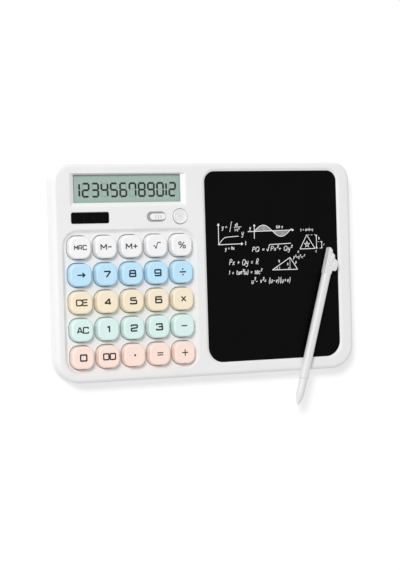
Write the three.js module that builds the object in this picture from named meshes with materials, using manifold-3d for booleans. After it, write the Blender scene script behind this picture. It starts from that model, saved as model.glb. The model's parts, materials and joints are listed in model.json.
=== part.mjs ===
// Desk calculator with an LCD writing tablet beside the keypad, and a loose stylus lying on it.
// Millimetres. +X points right, +Y to the top edge, +Z out of the keypad face.
// The origin is the centre of the rear cover's raised centre panel, on its flat outer face.
import * as THREE from 'three';
import Module from 'manifold-3d';
import { mergeVertices } from 'three/addons/utils/BufferGeometryUtils.js';

const wasm = await Module();
wasm.setup();

// ---------------------------------------------------------------- driving dimensions
const body = { width: 195, depth: 128, height: 13, topRadius: 10.5, bottomRadius: 15 };
const edge = { faceRound: 2.2, backRound: 1.8 };
const wall = 1.8;
const parting = { height: 6, gap: 0.1 };

const key = { pitch: 16, gap: 2.6, corner: 3.9, rise: 4.7, travel: 1.2, crown: 1.5 };
const keyGuide = { clearance: 0.3, flangeLip: 0.7, flangeThickness: 0.9, play: 0.25 };
const well = { left: 5.55, bottom: 5.5, margin: 1.6, depth: 2, floor: 1.5, corner: 9, wall: 1.6 };

const screen = { right: 9.4, top: 5.1, bottom: 7.8, divider: 7.4, topCorner: 6.5, bottomCorner: 9.5 };
const screenLip = { width: 1.4, drop: 0.7, cover: 0.8, thickness: 1 };
const tablet = { panel: 1, backing: 1.5, gap: 0.05 };

const display = { left: 13.3, top: 6.6, insetFromWell: 7.85, height: 16.4, corner: 1.2 };
const displaySlope = { side: 2.8, bottom: 2.3, top: 0.8, depth: 1.6 };
const displayStack = { ledge: 1, lens: 1, glass: 1.4, recess: 2.1, gap: 0.1, wall: 1.6 };

const controls = { fromTop: 31.8 };
const solar = { left: 11.1, width: 23.4, height: 6.5, corner: 1, ledge: 1, lens: 0.9, cell: 0.8 };
const lock = { besideErase: 15.1, length: 12.2, height: 6, depth: 1, knobLength: 9.8, knobHeight: 3.8 };
const lockKnob = { proud: 0.5, stem: 2, stemLength: 4.6, clearance: 0.2, reach: 2.6 };
const erase = { insetFromWell: 9.25, radius: 4.4, proud: 1, flange: 0.9, lip: 1.2, travel: 0.8 };

const board = { thickness: 1.2, edge: 9.3, fromWell: 2.5, pastWell: 0.5, fromGarage: 0.4 };
const boardRibs = [0.2, 0.5, 0.8];
const membrane = { sheet: 0.6, dome: 0.3, domeRadius: 4.2, gap: 0.05 };
const cell = { radius: 10, thickness: 2.5, smallRadius: 5.8, smallThickness: 3, seat: 0.2, headroom: 0.3 };
const hatch = { left: 8, width: 40, depth: 22.6, x: 105.5, y: 51.5, thickness: 1.4, clearance: 0.2 };
const hatchTab = { width: 4, reach: 1.3, rise: 0.5, thickness: 0.8, spread: 12 };

const screw = { shank: 0.95, head: 1.9, headHeight: 1.4, sink: 0.6 };
const boss = { radius: 2.6, pilot: 1.25, reach: 0.2, clearance: 0.25, post: 2.9 };
const foot = { radius: 4.5, height: 1.2, inset: 17, gap: 0.02 };
const centrePanel = { width: 124, depth: 60, corner: 6, raised: 0.3 };

const stylus = { width: 5.5, thickness: 5, chamfer: 1.2, length: 86.2, tipLength: 17, lay: 74.4 };
const stylusGrip = { length: 13.4, bulge: 2.4, steps: 3 };
const stylusJoint = { bore: 1.6, spigot: 1.3, depth: 5, gap: 0.3 };
const stylusRest = { right: 42, bottom: -21.1, lift: 0.3 };
const garage = { clearance: 0.45, length: 104, rib: 1.2, fromTop: 11.3 };

// ---------------------------------------------------------------- heights taken from the face
const left = -body.width / 2;
const right = body.width / 2;
const top = body.depth / 2;
const bottom = -body.depth / 2;
const ceiling = body.height - wall;
const keyFloorTop = body.height - well.depth;
const keyFloorBottom = keyFloorTop - well.floor;
const flangeTop = keyFloorBottom - keyGuide.play;
const flangeBottom = flangeTop - keyGuide.flangeThickness;
const domeTop = flangeBottom - key.travel - 2 * membrane.gap;
const sheetTop = domeTop - membrane.dome;
const sheetBottom = sheetTop - membrane.sheet;
const boardTop = sheetBottom - membrane.gap;
const boardBottom = boardTop - board.thickness;
const cellBottom = hatch.thickness + cell.seat;
const cellTop = cellBottom + cell.thickness;
const tabletBoardBottom = cellBottom + cell.smallThickness + cell.headroom;
const panelTop = body.height - screenLip.thickness - tablet.gap;
const panelBottom = panelTop - tablet.panel;
const backingTop = panelBottom - tablet.gap;
const backingBottom = backingTop - tablet.backing;
const lensTop = body.height - displayStack.recess;
const glassTop = lensTop - displayStack.lens - displayStack.gap;
const glassBottom = glassTop - displayStack.glass;

// ---------------------------------------------------------------- plan outlines
const box = (x0, y0, x1, y1, radii) => ({ x0, y0, x1, y1, radii: [radii].flat() });
const grow = (b, by) => {
  const radii = b.radii.map((r) => Math.max(r + by, 0.05));
  return box(b.x0 - by, b.y0 - by, b.x1 + by, b.y1 + by, radii);
};
const centred = (x, y, w, h, radii) => box(x - w / 2, y - h / 2, x + w / 2, y + h / 2, radii);

const { bottomRadius, topRadius } = body;
const bodyPlan = box(left, bottom, right, top, [bottomRadius, bottomRadius, topRadius, topRadius]);
const wellSize = 5 * key.pitch + 2 * well.margin;
const wellPlan = box(
  left + well.left,
  bottom + well.bottom,
  left + well.left + wellSize,
  bottom + well.bottom + wellSize,
  well.corner,
);
const screenPlan = box(
  wellPlan.x1 + screen.divider,
  bottom + screen.bottom,
  right - screen.right,
  top - screen.top,
  [screen.bottomCorner, screen.bottomCorner, screen.topCorner, screen.topCorner],
);
const displayPlan = box(
  left + display.left,
  top - display.top - display.height,
  wellPlan.x1 - display.insetFromWell,
  top - display.top,
  display.corner,
);
const displayRim = box(
  displayPlan.x0 - displaySlope.side,
  displayPlan.y0 - displaySlope.bottom,
  displayPlan.x1 + displaySlope.side,
  displayPlan.y1 + displaySlope.top,
  display.corner,
);
const controlY = top - controls.fromTop;
const solarX = left + solar.left + solar.width / 2;
const solarPlan = centred(solarX, controlY, solar.width, solar.height, solar.corner);
const eraseX = wellPlan.x1 - erase.insetFromWell;
const lockX = eraseX - lock.besideErase;
const lockPlan = centred(lockX, controlY, lock.length, lock.height, lock.height / 2);
const lockTravel = lock.length - lock.knobLength - 2 * lockKnob.clearance;
const knobX = lockX + lockTravel / 2;
const hatchX = left + hatch.x;
const hatchY = bottom + hatch.y - hatch.depth / 2;
const hatchPlan = box(hatchX, hatchY, hatchX + hatch.width, hatchY + hatch.depth, 1);
const hatchMidY = hatchY + hatch.depth / 2;
const tabletBoardPlan = grow(hatchPlan, 5);
const garageWidth = stylus.width + 2 * garage.clearance;
const garageHeight = stylus.thickness + 2 * garage.clearance;
const garageY = top - garage.fromTop - garageWidth / 2;
const garagePlan = box(
  right - garage.length,
  garageY - garageWidth / 2,
  right + 2,
  garageY + garageWidth / 2,
  0.05,
);
const boardPlan = box(
  left + board.edge,
  wellPlan.y0 + board.fromWell,
  wellPlan.x1 + board.pastWell,
  garagePlan.y0 - garage.rib - board.fromGarage,
  1,
);
const dividerX = (wellPlan.x1 + screenPlan.x0) / 2 + 0.15;
const screwSpots = [
  [left + 6, controlY + 1.8],
  [wellPlan.x0 + well.margin + key.pitch, wellPlan.y0 - 0.7],
  [dividerX, wellPlan.y0 - 0.5],
  [dividerX, controlY + 3.8],
  [right - 5.3, bottom + 19],
  [right - 5.3, top - 44],
];

// ---------------------------------------------------------------- geometry helpers
function outline(b, steps) {
  const corners = [
    [b.x0, b.y0, 1, 1, Math.PI],
    [b.x1, b.y0, -1, 1, 1.5 * Math.PI],
    [b.x1, b.y1, -1, -1, 0],
    [b.x0, b.y1, 1, -1, 0.5 * Math.PI],
  ];
  return corners.flatMap(([x, y, sx, sy, start], index) => {
    const r = b.radii[index % b.radii.length];
    return Array.from({ length: steps + 1 }, (_, step) => {
      const angle = start + (step / steps) * (Math.PI / 2);
      return [x + sx * r + r * Math.cos(angle), y + sy * r + r * Math.sin(angle)];
    });
  });
}

// A stack of convex rings, each [plan, height], joined into one closed skin with flat ends.
function loft(rings, steps = 4) {
  const points = rings.flatMap(([plan, z]) => outline(plan, steps).map(([x, y]) => [x, y, z]));
  const count = 4 * (steps + 1);
  const faces = [];
  for (let ring = 0; ring < rings.length - 1; ring += 1) {
    for (let i = 0; i < count; i += 1) {
      const a = ring * count + i;
      const b = ring * count + ((i + 1) % count);
      faces.push(a, b, b + count, a, b + count, a + count);
    }
  }
  const last = (rings.length - 1) * count;
  for (let i = 1; i < count - 1; i += 1) {
    faces.push(0, i + 1, i);
    faces.push(last, last + i, last + i + 1);
  }
  const geometry = new THREE.BufferGeometry();
  geometry.setAttribute('position', new THREE.Float32BufferAttribute(points.flat(), 3));
  geometry.setIndex(faces);
  return solid(geometry);
}

const slab = (plan, z0, z1, steps = 4) => loft([[plan, z0], [plan, z1]], steps);

function solid(source) {
  const bare = new THREE.BufferGeometry();
  bare.setAttribute('position', source.getAttribute('position'));
  bare.setIndex(source.getIndex());
  const merged = mergeVertices(bare, 1e-4);
  const corners = merged.getIndex().array;
  const kept = [];
  for (let i = 0; i < corners.length; i += 3) {
    const [a, b, c] = corners.slice(i, i + 3);
    if (a !== b && b !== c && c !== a) kept.push(a, b, c);
  }
  const vertProperties = new Float32Array(merged.getAttribute('position').array);
  const mesh = new wasm.Mesh({ numProp: 3, vertProperties, triVerts: new Uint32Array(kept) });
  return new wasm.Manifold(mesh);
}

function rod(x, y, z0, z1, radius, sides = 16) {
  const geometry = new THREE.CylinderGeometry(radius, radius, z1 - z0, sides);
  geometry.rotateX(Math.PI / 2);
  geometry.translate(x, y, (z0 + z1) / 2);
  return solid(geometry);
}

function prism(points, depth) {
  const shape = new THREE.Shape(points.map(([x, y]) => new THREE.Vector2(x, y)));
  return new THREE.ExtrudeGeometry(shape, { depth, bevelEnabled: false });
}

const joined = (first, ...others) => others.reduce((sum, part) => sum.add(part), first);
const cutBy = (first, ...others) => others.reduce((rest, part) => rest.subtract(part), first);

function skin(manifold) {
  const { vertProperties, triVerts, numProp } = manifold.getMesh();
  const points = [];
  for (let i = 0; i < vertProperties.length; i += numProp) {
    points.push(...vertProperties.slice(i, i + 3));
  }
  const geometry = new THREE.BufferGeometry();
  geometry.setAttribute('position', new THREE.Float32BufferAttribute(points, 3));
  geometry.setIndex(Array.from(triVerts));
  geometry.computeVertexNormals();
  return geometry;
}

// ---------------------------------------------------------------- materials
const finish = (color, roughness, metalness = 0) =>
  new THREE.MeshStandardMaterial({ color, roughness, metalness });
const materials = {
  shell: finish(0xe9e9e7, 0.45),
  cap: finish(0xf1f1ef, 0.4),
  rubber: finish(0x6d6f72, 0.85),
  silicone: finish(0xc9ccd0, 0.7),
  circuit: finish(0x2e6b45, 0.6),
  epoxy: finish(0x1a1a1c, 0.4),
  lcd: finish(0x9fb6ac, 0.25),
  lens: finish(0xcfd8d6, 0.05),
  screen: finish(0x0e0e0f, 0.15),
  solar: finish(0x14161f, 0.2),
  foil: finish(0xb9bcc0, 0.35, 1),
  steel: finish(0xc4c6c9, 0.3, 1),
};
const rowColors = [0xf1f1ef, 0xc3e5fa, 0xf4e8cf, 0xdbf0eb, 0xfbe4d9];

const calculator = new THREE.Group();
function addNode(name, manifold, material) {
  const mesh = new THREE.Mesh(skin(manifold), material);
  mesh.name = name;
  calculator.add(mesh);
  return mesh;
}

// ---------------------------------------------------------------- keys
const keyRows = [
  ['memory_recall', 'memory_minus', 'memory_plus', 'square_root', 'percent'],
  ['backspace', '7', '8', '9', 'divide'],
  ['clear_entry', '4', '5', '6', 'multiply'],
  ['all_clear', '1', '2', '3', 'minus'],
  ['0', '00', 'decimal_point', 'equals', 'plus'],
];
const keySpots = keyRows.flatMap((names, row) =>
  names.map((name, column) => ({
    name,
    row,
    x: wellPlan.x0 + well.margin + (column + 0.5) * key.pitch,
    y: wellPlan.y1 - well.margin - (row + 0.5) * key.pitch,
  })));
const capSize = key.pitch - key.gap;
const keyPlan = (spot, by = 0) => grow(centred(spot.x, spot.y, capSize, capSize, key.corner), by);

function keycap(spot) {
  const capTop = keyFloorTop + key.rise;
  return loft([
    [keyPlan(spot, keyGuide.flangeLip), flangeBottom],
    [keyPlan(spot, keyGuide.flangeLip), flangeTop],
    [keyPlan(spot), flangeTop],
    [keyPlan(spot), capTop - key.crown],
    [keyPlan(spot, -key.crown / 3), capTop - key.crown / 3],
    [keyPlan(spot, -key.crown), capTop],
  ], 2);
}

// ---------------------------------------------------------------- front shell
function frontCasing() {
  const inner = grow(bodyPlan, -wall);
  const { faceRound } = edge;
  const outer = loft([
    [bodyPlan, parting.height + parting.gap],
    [bodyPlan, body.height - faceRound],
    [grow(bodyPlan, -faceRound * 0.3), body.height - faceRound * 0.3],
    [grow(bodyPlan, -faceRound), body.height],
  ], 6);
  return outer.subtract(slab(inner, 0, ceiling, 6));
}

function screenCuts() {
  const lip = screenLip.width;
  const shelf = body.height - screenLip.drop;
  return [
    slab(screenPlan, panelTop - 1, body.height + 1, 6),
    loft([[screenPlan, shelf], [grow(screenPlan, lip), body.height]], 6),
    slab(grow(screenPlan, screenLip.cover), 0, panelTop + tablet.gap, 6),
  ];
}

function displayBlock() {
  return slab(grow(displayPlan, displayStack.ledge + displayStack.wall), glassBottom, ceiling + 0.4);
}

function displayCuts() {
  const pocket = grow(displayPlan, displayStack.ledge);
  return [
    slab(displayPlan, glassBottom - 1, body.height + 1),
    loft([[displayPlan, body.height - displaySlope.depth], [displayRim, body.height]]),
    slab(pocket, glassBottom - 1, lensTop + displayStack.gap),
  ];
}

function keypadTray() {
  return slab(grow(wellPlan, well.wall), keyFloorBottom, ceiling + 0.4, 6);
}

function keypadCuts() {
  const holes = keySpots.map((spot) =>
    slab(keyPlan(spot, keyGuide.clearance), keyFloorBottom - 1, body.height, 2));
  return [slab(wellPlan, keyFloorTop, body.height + 1, 6), ...holes];
}

function solarCuts() {
  const shelf = body.height - 0.2 - solar.lens - 0.1;
  return [
    slab(solarPlan, shelf, body.height + 1),
    slab(grow(solarPlan, -solar.ledge), ceiling - 1, body.height),
  ];
}

function lockCuts() {
  const stemSlot = lockKnob.stemLength + lockTravel + 2 * lockKnob.clearance;
  const stemHeight = lockKnob.stem + 2 * lockKnob.clearance;
  return [
    slab(lockPlan, body.height - lock.depth, body.height + 1),
    slab(centred(lockX, controlY, stemSlot, stemHeight, 0.5), ceiling - 1, body.height),
  ];
}

const eraseCut = () =>
  rod(eraseX, controlY, ceiling - 1, body.height + 1, erase.radius + keyGuide.clearance, 24);

const garageTop = wall + garageHeight;
const garageCut = () => slab(box(
  right - wall - 1,
  garagePlan.y0,
  garagePlan.x1,
  garagePlan.y1,
  0.05,
), wall, garageTop, 1);

function frontShell() {
  const pilotTop = keyFloorBottom - boss.reach;
  const bosses = screwSpots.map(([x, y]) =>
    rod(x, y, parting.height + parting.gap, ceiling + 0.4, boss.radius, 12));
  const pilots = screwSpots.map(([x, y]) =>
    rod(x, y, parting.height - 1, pilotTop, boss.pilot, 8));
  const whole = joined(frontCasing(), keypadTray(), displayBlock(), ...bosses);
  return cutBy(
    whole,
    ...keypadCuts(),
    ...screenCuts(),
    ...displayCuts(),
    ...solarCuts(),
    ...lockCuts(),
    eraseCut(),
    garageCut(),
    ...pilots,
  );
}

// ---------------------------------------------------------------- rear shell and battery hatch
const alongBoard = (share) => boardPlan.y0 + share * (boardPlan.y1 - boardPlan.y0);

function backRibs() {
  const support = tabletBoardBottom - 0.1;
  const rib = (x0, y0, x1, y1, z1) => slab(box(x0, y0, x1, y1, 0.05), wall - 0.4, z1, 1);
  const mainRibs = boardRibs.map((share) => {
    const y = alongBoard(share);
    return rib(boardPlan.x0, y, boardPlan.x1, y + garage.rib, boardBottom - 0.1);
  });
  const hatchWalls = [
    rib(hatchPlan.x0, hatchPlan.y1, hatchPlan.x1 + 1, hatchPlan.y1 + 1, support),
    rib(hatchPlan.x0, hatchPlan.y0 - 1, hatchPlan.x1 + 1, hatchPlan.y0, support),
    rib(hatchPlan.x1, hatchPlan.y0 - 1, hatchPlan.x1 + 1, hatchPlan.y1 + 1, support),
  ];
  const reach = right - wall / 2;
  const garageRibs = [
    rib(garagePlan.x0, garagePlan.y0 - garage.rib, reach, garagePlan.y0, garageTop),
    rib(garagePlan.x0, garagePlan.y1, reach, garagePlan.y1 + garage.rib, garageTop),
    rib(
      garagePlan.x0 - garage.rib,
      garagePlan.y0 - garage.rib,
      garagePlan.x0,
      garagePlan.y1 + garage.rib,
      garageTop,
    ),
  ];
  return [...mainRibs, ...hatchWalls, ...garageRibs];
}

function backShell() {
  const { backRound } = edge;
  const inner = grow(bodyPlan, -wall);
  const { raised } = centrePanel;
  const outer = loft([
    [grow(bodyPlan, -backRound), raised],
    [grow(bodyPlan, -backRound * 0.3), raised + backRound * 0.3],
    [bodyPlan, raised + backRound],
    [bodyPlan, parting.height],
  ], 6);
  const centre = centred(0, 0, centrePanel.width, centrePanel.depth, centrePanel.corner);
  const tray = outer.subtract(slab(inner, wall, parting.height + 1, 6));
  const posts = screwSpots.map(([x, y]) => rod(x, y, wall - 0.4, parting.height, boss.post, 12));
  const seatTop = screw.sink + screw.headHeight + 0.1;
  const holes = screwSpots.flatMap(([x, y]) => [
    rod(x, y, -1, parting.height + 1, screw.shank + boss.clearance, 8),
    rod(x, y, -1, seatTop, screw.head + boss.clearance, 12),
  ]);
  const trimmedRibs = backRibs().map((rib) => rib.intersect(outer.add(slab(inner, wall, garageTop, 6))));
  const seats = slab(hatchPlan, -1, wall + 1);
  return cutBy(joined(tray, slab(centre, 0, raised + 0.2, 6), ...posts, ...trimmedRibs), seats, garageCut(), ...holes);
}

function batteryDoor() {
  const plan = grow(hatchPlan, -hatch.clearance);
  const tabBottom = hatch.thickness + hatchTab.rise;
  const tabs = [-1, 1].map((side) => {
    const y = hatchMidY + (side * hatchTab.spread) / 2;
    const root = plan.x0 + hatchTab.thickness;
    const foot0 = centred(root, y, hatchTab.thickness, hatchTab.width, 0.05);
    const arm = box(plan.x0 - hatchTab.reach, foot0.y0, foot0.x1, foot0.y1, 0.05);
    return slab(foot0, hatch.thickness - 0.2, tabBottom + 0.1, 1)
      .add(slab(arm, tabBottom, tabBottom + hatchTab.thickness, 1));
  });
  return joined(slab(plan, 0, hatch.thickness), ...tabs);
}

// ---------------------------------------------------------------- electronics
function keypadMembrane() {
  const plan = box(boardPlan.x0, boardPlan.y0, boardPlan.x1, wellPlan.y1 - 1.5, 1);
  const domes = keySpots.map((spot) =>
    rod(spot.x, spot.y, sheetTop - 0.2, domeTop, membrane.domeRadius, 8));
  return joined(slab(plan, sheetBottom, sheetTop, 2), ...domes);
}

function eraseSwitch() {
  const capBottom = ceiling - 0.3 - erase.flange;
  const plunger = rod(eraseX, controlY, boardTop + 1, capBottom - erase.travel - 0.1, 1.6, 12);
  return slab(centred(eraseX, controlY, 6, 6, 0.5), boardTop + 0.05, boardTop + 2.4).add(plunger);
}

function eraseButton() {
  const flangeHigh = ceiling - 0.3;
  const flangeLow = flangeHigh - erase.flange;
  const { radius, lip, proud } = erase;
  const crown = body.height + proud;
  const profile = [
    [0, flangeLow],
    [radius + lip, flangeLow],
    [radius + lip, flangeHigh],
    [radius, flangeHigh],
    [radius, crown - 0.4],
    [radius - 0.4, crown],
    [radius - 1.1, crown],
    [radius - 1.5, crown - 0.35],
    [0, crown - 0.35],
  ].map(([r, z]) => new THREE.Vector2(r, z));
  const geometry = new THREE.LatheGeometry(profile, 24);
  geometry.rotateX(Math.PI / 2);
  geometry.translate(eraseX, controlY, 0);
  return solid(geometry);
}

function lockSlider() {
  const floor = body.height - lock.depth;
  const knob = centred(knobX, controlY, lock.knobLength, lock.knobHeight, lock.knobHeight / 2);
  const crown = body.height + lockKnob.proud;
  const stem = centred(knobX, controlY, lockKnob.stemLength, lockKnob.stem, 0.4);
  return joined(
    loft([[knob, floor + 0.1], [knob, crown - 0.4], [grow(knob, -0.4), crown]]),
    slab(stem, floor - lockKnob.reach, floor + 0.3, 2),
  );
}

function lockSwitch() {
  const stemBottom = body.height - lock.depth - lockKnob.reach;
  return slab(centred(lockX, controlY, 9, 4.4, 0.4), boardTop + 0.05, stemBottom - 0.1, 2);
}

function addElectronics() {
  const cellX = hatchPlan.x0 + 14.5;
  const smallX = hatchPlan.x1 - cell.smallRadius - 1.7;
  const lensPlan = grow(displayPlan, displayStack.ledge - displayStack.gap);
  const strip = centred((displayPlan.x0 + displayPlan.x1) / 2, displayPlan.y0 + 1, 60, 2, 0.2);
  const solarTop = body.height - 0.2;
  const chip = [boardPlan.x0 + 38, alongBoard((boardRibs[1] + boardRibs[2]) / 2)];
  const panelPlan = grow(screenPlan, screenLip.cover - 0.1);
  addNode('writing_panel', slab(panelPlan, panelBottom, panelTop, 6), materials.screen);
  addNode('panel_backing', slab(panelPlan, backingBottom, backingTop, 6), materials.silicone);
  addNode('display_window', slab(lensPlan, lensTop - displayStack.lens, lensTop), materials.lens);
  addNode('lcd_glass', slab(lensPlan, glassBottom, glassTop), materials.lcd);
  addNode('lcd_connector', slab(strip, boardTop + 0.05, glassBottom - 0.05, 2), materials.rubber);
  addNode(
    'solar_window',
    slab(grow(solarPlan, -0.1), solarTop - solar.lens, solarTop),
    materials.solar,
  );
  addNode(
    'solar_cell',
    slab(grow(solarPlan, 0.3), ceiling - 0.1 - solar.cell, ceiling - 0.1),
    materials.solar,
  );
  addNode('keypad_membrane', keypadMembrane(), materials.silicone);
  addNode('main_board', slab(boardPlan, boardBottom, boardTop, 2), materials.circuit);
  addNode(
    'processor_blob',
    rod(chip[0], chip[1], boardBottom - 1, boardBottom - 0.05, 5.5, 16),
    materials.epoxy,
  );
  const tabletBoardTop = tabletBoardBottom + board.thickness;
  addNode(
    'tablet_board',
    slab(tabletBoardPlan, tabletBoardBottom, tabletBoardTop, 2),
    materials.circuit,
  );
  addNode('lock_switch', lockSwitch(), materials.epoxy);
  addNode('erase_switch', eraseSwitch(), materials.epoxy);
  addNode('coin_cell', rod(cellX, hatchMidY, cellBottom, cellTop, cell.radius, 32), materials.foil);
  addNode(
    'button_cell',
    rod(smallX, hatchMidY, cellBottom, cellBottom + cell.smallThickness, cell.smallRadius, 24),
    materials.foil,
  );
  const contact = centred(cellX, hatchMidY, 14, 5, 0.5);
  addNode('cell_contact', slab(contact, cellTop + 0.1, tabletBoardBottom - 0.05, 2), materials.steel);
}

// ---------------------------------------------------------------- fasteners and feet
function addFasteners() {
  const pilotTop = keyFloorBottom - boss.reach;
  screwSpots.forEach(([x, y], index) => {
    const headTop = screw.sink + screw.headHeight;
    const shank = rod(x, y, headTop - 0.2, pilotTop - 0.4, screw.shank, 8);
    addNode(
      `screw_${index + 1}`,
      rod(x, y, screw.sink, headTop, screw.head, 12).add(shank),
      materials.steel,
    );
  });
  [[-1, 1], [1, 1], [-1, -1], [1, -1]].forEach(([sx, sy], index) => {
    const x = sx * (right - foot.inset);
    const y = sy * (top - foot.inset);
    addNode(
      `foot_${index + 1}`,
      rod(x, y, -foot.height, centrePanel.raised - foot.gap, foot.radius, 16),
      materials.rubber,
    );
  });
}

// ---------------------------------------------------------------- stylus
// Drawn lying along +X from its tip at 0, then turned and laid over the writing panel.
function stylusBarrel() {
  const { width: w, thickness: t, chamfer: c } = stylus;
  const section = [
    [-t / 2 + c, -w / 2],
    [t / 2 - c, -w / 2],
    [t / 2, -w / 2 + c],
    [t / 2, w / 2 - c],
    [t / 2 - c, w / 2],
    [-t / 2 + c, w / 2],
    [-t / 2, w / 2 - c],
    [-t / 2, -w / 2 + c],
  ];
  const start = stylus.tipLength;
  const gripStart = stylus.tipLength + stylus.length - stylusGrip.length;
  const shaftGeometry = prism(section, gripStart + 0.5 - start).rotateY(Math.PI / 2);
  const shaft = solid(shaftGeometry.translate(start, 0, 0));
  const { length, bulge, steps } = stylusGrip;
  const ramp = Array.from({ length: steps }, (_, i) => {
    const along = gripStart + 2 + ((i + 0.6) * (length - 2)) / steps;
    const reach = -w / 2 - bulge + (i * (w + bulge)) / steps;
    return [[along, reach], [along + 0.5, reach + 1.6]];
  }).flat();
  const outlinePoints = [
    [gripStart, -w / 2 - bulge],
    ...ramp,
    [gripStart + length, w / 2 - 0.6],
    [gripStart + length - 1, w / 2],
    [gripStart, w / 2],
  ];
  const grip = solid(prism(outlinePoints, t).translate(0, 0, -t / 2));
  const bore = new THREE.CylinderGeometry(stylusJoint.bore, stylusJoint.bore, 12, 12);
  bore.rotateZ(Math.PI / 2);
  bore.translate(start + stylusJoint.depth + stylusJoint.gap - 6, 0, 0);
  return joined(shaft, grip).subtract(solid(bore));
}

function stylusTip() {
  const shoulder = stylus.tipLength - stylusJoint.gap;
  const bodyRadius = stylus.thickness / 2;
  const spigotEnd = shoulder + stylusJoint.depth;
  const profile = [
    [0, 0],
    [0.6, 0.15],
    [1, 0.9],
    [bodyRadius * 0.66, 4],
    [bodyRadius * 0.94, 9],
    [bodyRadius, 12.5],
    [bodyRadius, shoulder],
    [stylusJoint.spigot, shoulder],
    [stylusJoint.spigot, spigotEnd],
    [0, spigotEnd],
  ].map(([r, along]) => new THREE.Vector2(r, along));
  return solid(new THREE.LatheGeometry(profile, 16).rotateZ(-Math.PI / 2));
}

function addStylus() {
  const group = new THREE.Group();
  const lift = body.height + stylusRest.lift + stylus.thickness / 2;
  group.position.set(right - stylusRest.right, bottom + stylusRest.bottom, lift);
  group.rotation.z = THREE.MathUtils.degToRad(stylus.lay);
  [['stylus_barrel', stylusBarrel()], ['stylus_tip', stylusTip()]].forEach(([name, shape]) => {
    const mesh = new THREE.Mesh(skin(shape), materials.shell);
    mesh.name = name;
    group.add(mesh);
  });
  calculator.add(group);
}

// ---------------------------------------------------------------- assembly
addNode('front_shell', frontShell(), materials.shell);
addNode('back_shell', backShell(), materials.shell);
addNode('battery_door', batteryDoor(), materials.shell);
addElectronics();
addNode('erase_button', eraseButton(), materials.shell);
addNode('lock_slider', lockSlider(), materials.cap);
const rowMaterials = rowColors.map((color) => finish(color, 0.4));
keySpots.forEach((spot) => addNode(`key_${spot.name}`, keycap(spot), rowMaterials[spot.row]));
addFasteners();
addStylus();

export default calculator;
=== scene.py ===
import json
import math

import bmesh
import bpy
from mathutils import Matrix, Vector
from mathutils.bvhtree import BVHTree


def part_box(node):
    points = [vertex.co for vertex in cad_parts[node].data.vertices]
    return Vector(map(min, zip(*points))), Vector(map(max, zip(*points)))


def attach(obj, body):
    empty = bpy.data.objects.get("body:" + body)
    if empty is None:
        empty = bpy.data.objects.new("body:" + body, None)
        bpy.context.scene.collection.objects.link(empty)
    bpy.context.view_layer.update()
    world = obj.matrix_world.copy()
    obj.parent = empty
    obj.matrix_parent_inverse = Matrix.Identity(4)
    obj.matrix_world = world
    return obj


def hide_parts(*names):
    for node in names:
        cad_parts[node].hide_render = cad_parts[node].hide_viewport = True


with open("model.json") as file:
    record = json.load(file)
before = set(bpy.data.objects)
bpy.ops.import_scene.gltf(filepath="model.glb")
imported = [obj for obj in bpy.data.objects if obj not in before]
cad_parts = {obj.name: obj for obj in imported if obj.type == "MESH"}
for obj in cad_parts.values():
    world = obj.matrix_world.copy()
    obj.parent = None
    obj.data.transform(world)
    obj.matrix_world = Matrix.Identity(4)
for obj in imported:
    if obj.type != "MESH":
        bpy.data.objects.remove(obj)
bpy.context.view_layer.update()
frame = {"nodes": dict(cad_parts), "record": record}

MM = 0.001
HOUSING = "housing"

# ------------------------------------------------------------------ places read from the frame
LOW, HIGH = 0, 1


def mm_box(node):
    """A node's lowest and highest corners in millimetres."""
    low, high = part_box(node)
    return [value / MM for value in low], [value / MM for value in high]


SHELL_BOX = mm_box("front_shell")
PANEL_BOX = mm_box("writing_panel")
WINDOW_BOX = mm_box("display_window")
GLASS_BOX = mm_box("lcd_glass")
SOLAR_BOX = mm_box("solar_window")
SLIDER_BOX = mm_box("lock_slider")
ERASE_BOX = mm_box("erase_button")
DOOR_BOX = mm_box("battery_door")
FACE = SHELL_BOX[HIGH][2]
PARTING = SHELL_BOX[LOW][2]
WALL = 1.8
CEILING = FACE - WALL

CAP_SIZE = 13.4
CAP_CORNER = 4.8
KEY_GAP = 0.5
KEY_PITCH = 16.0
KEY_ROWS = [
    ["memory_recall", "memory_minus", "memory_plus", "square_root", "percent"],
    ["backspace", "7", "8", "9", "divide"],
    ["clear_entry", "4", "5", "6", "multiply"],
    ["all_clear", "1", "2", "3", "minus"],
    ["0", "00", "decimal_point", "equals", "plus"],
]


class Plan:
    """A rounded rectangle seen from above, in mm. Radii run anticlockwise from the lower left."""

    def __init__(self, x0, y0, x1, y1, *radii):
        self.x0, self.y0, self.x1, self.y1 = x0, y0, x1, y1
        self.radii = radii if len(radii) == 4 else (radii[0],) * 4

    def grow(self, by):
        radii = [max(radius + by, 0.05) for radius in self.radii]
        return Plan(self.x0 - by, self.y0 - by, self.x1 + by, self.y1 + by, *radii)

    def stretch(self, west, south, east, north):
        return Plan(self.x0 - west, self.y0 - south, self.x1 + east, self.y1 + north, *self.radii)

    @classmethod
    def around(cls, box, grow, *radii):
        (x0, y0, _), (x1, y1, _) = box
        return cls(x0 - grow, y0 - grow, x1 + grow, y1 + grow, *radii)

    @classmethod
    def centred(cls, x, y, width, height, *radii):
        return cls(x - width / 2, y - height / 2, x + width / 2, y + height / 2, *radii)


def middle(box):
    return (box[LOW][0] + box[HIGH][0]) / 2, (box[LOW][1] + box[HIGH][1]) / 2


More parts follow.
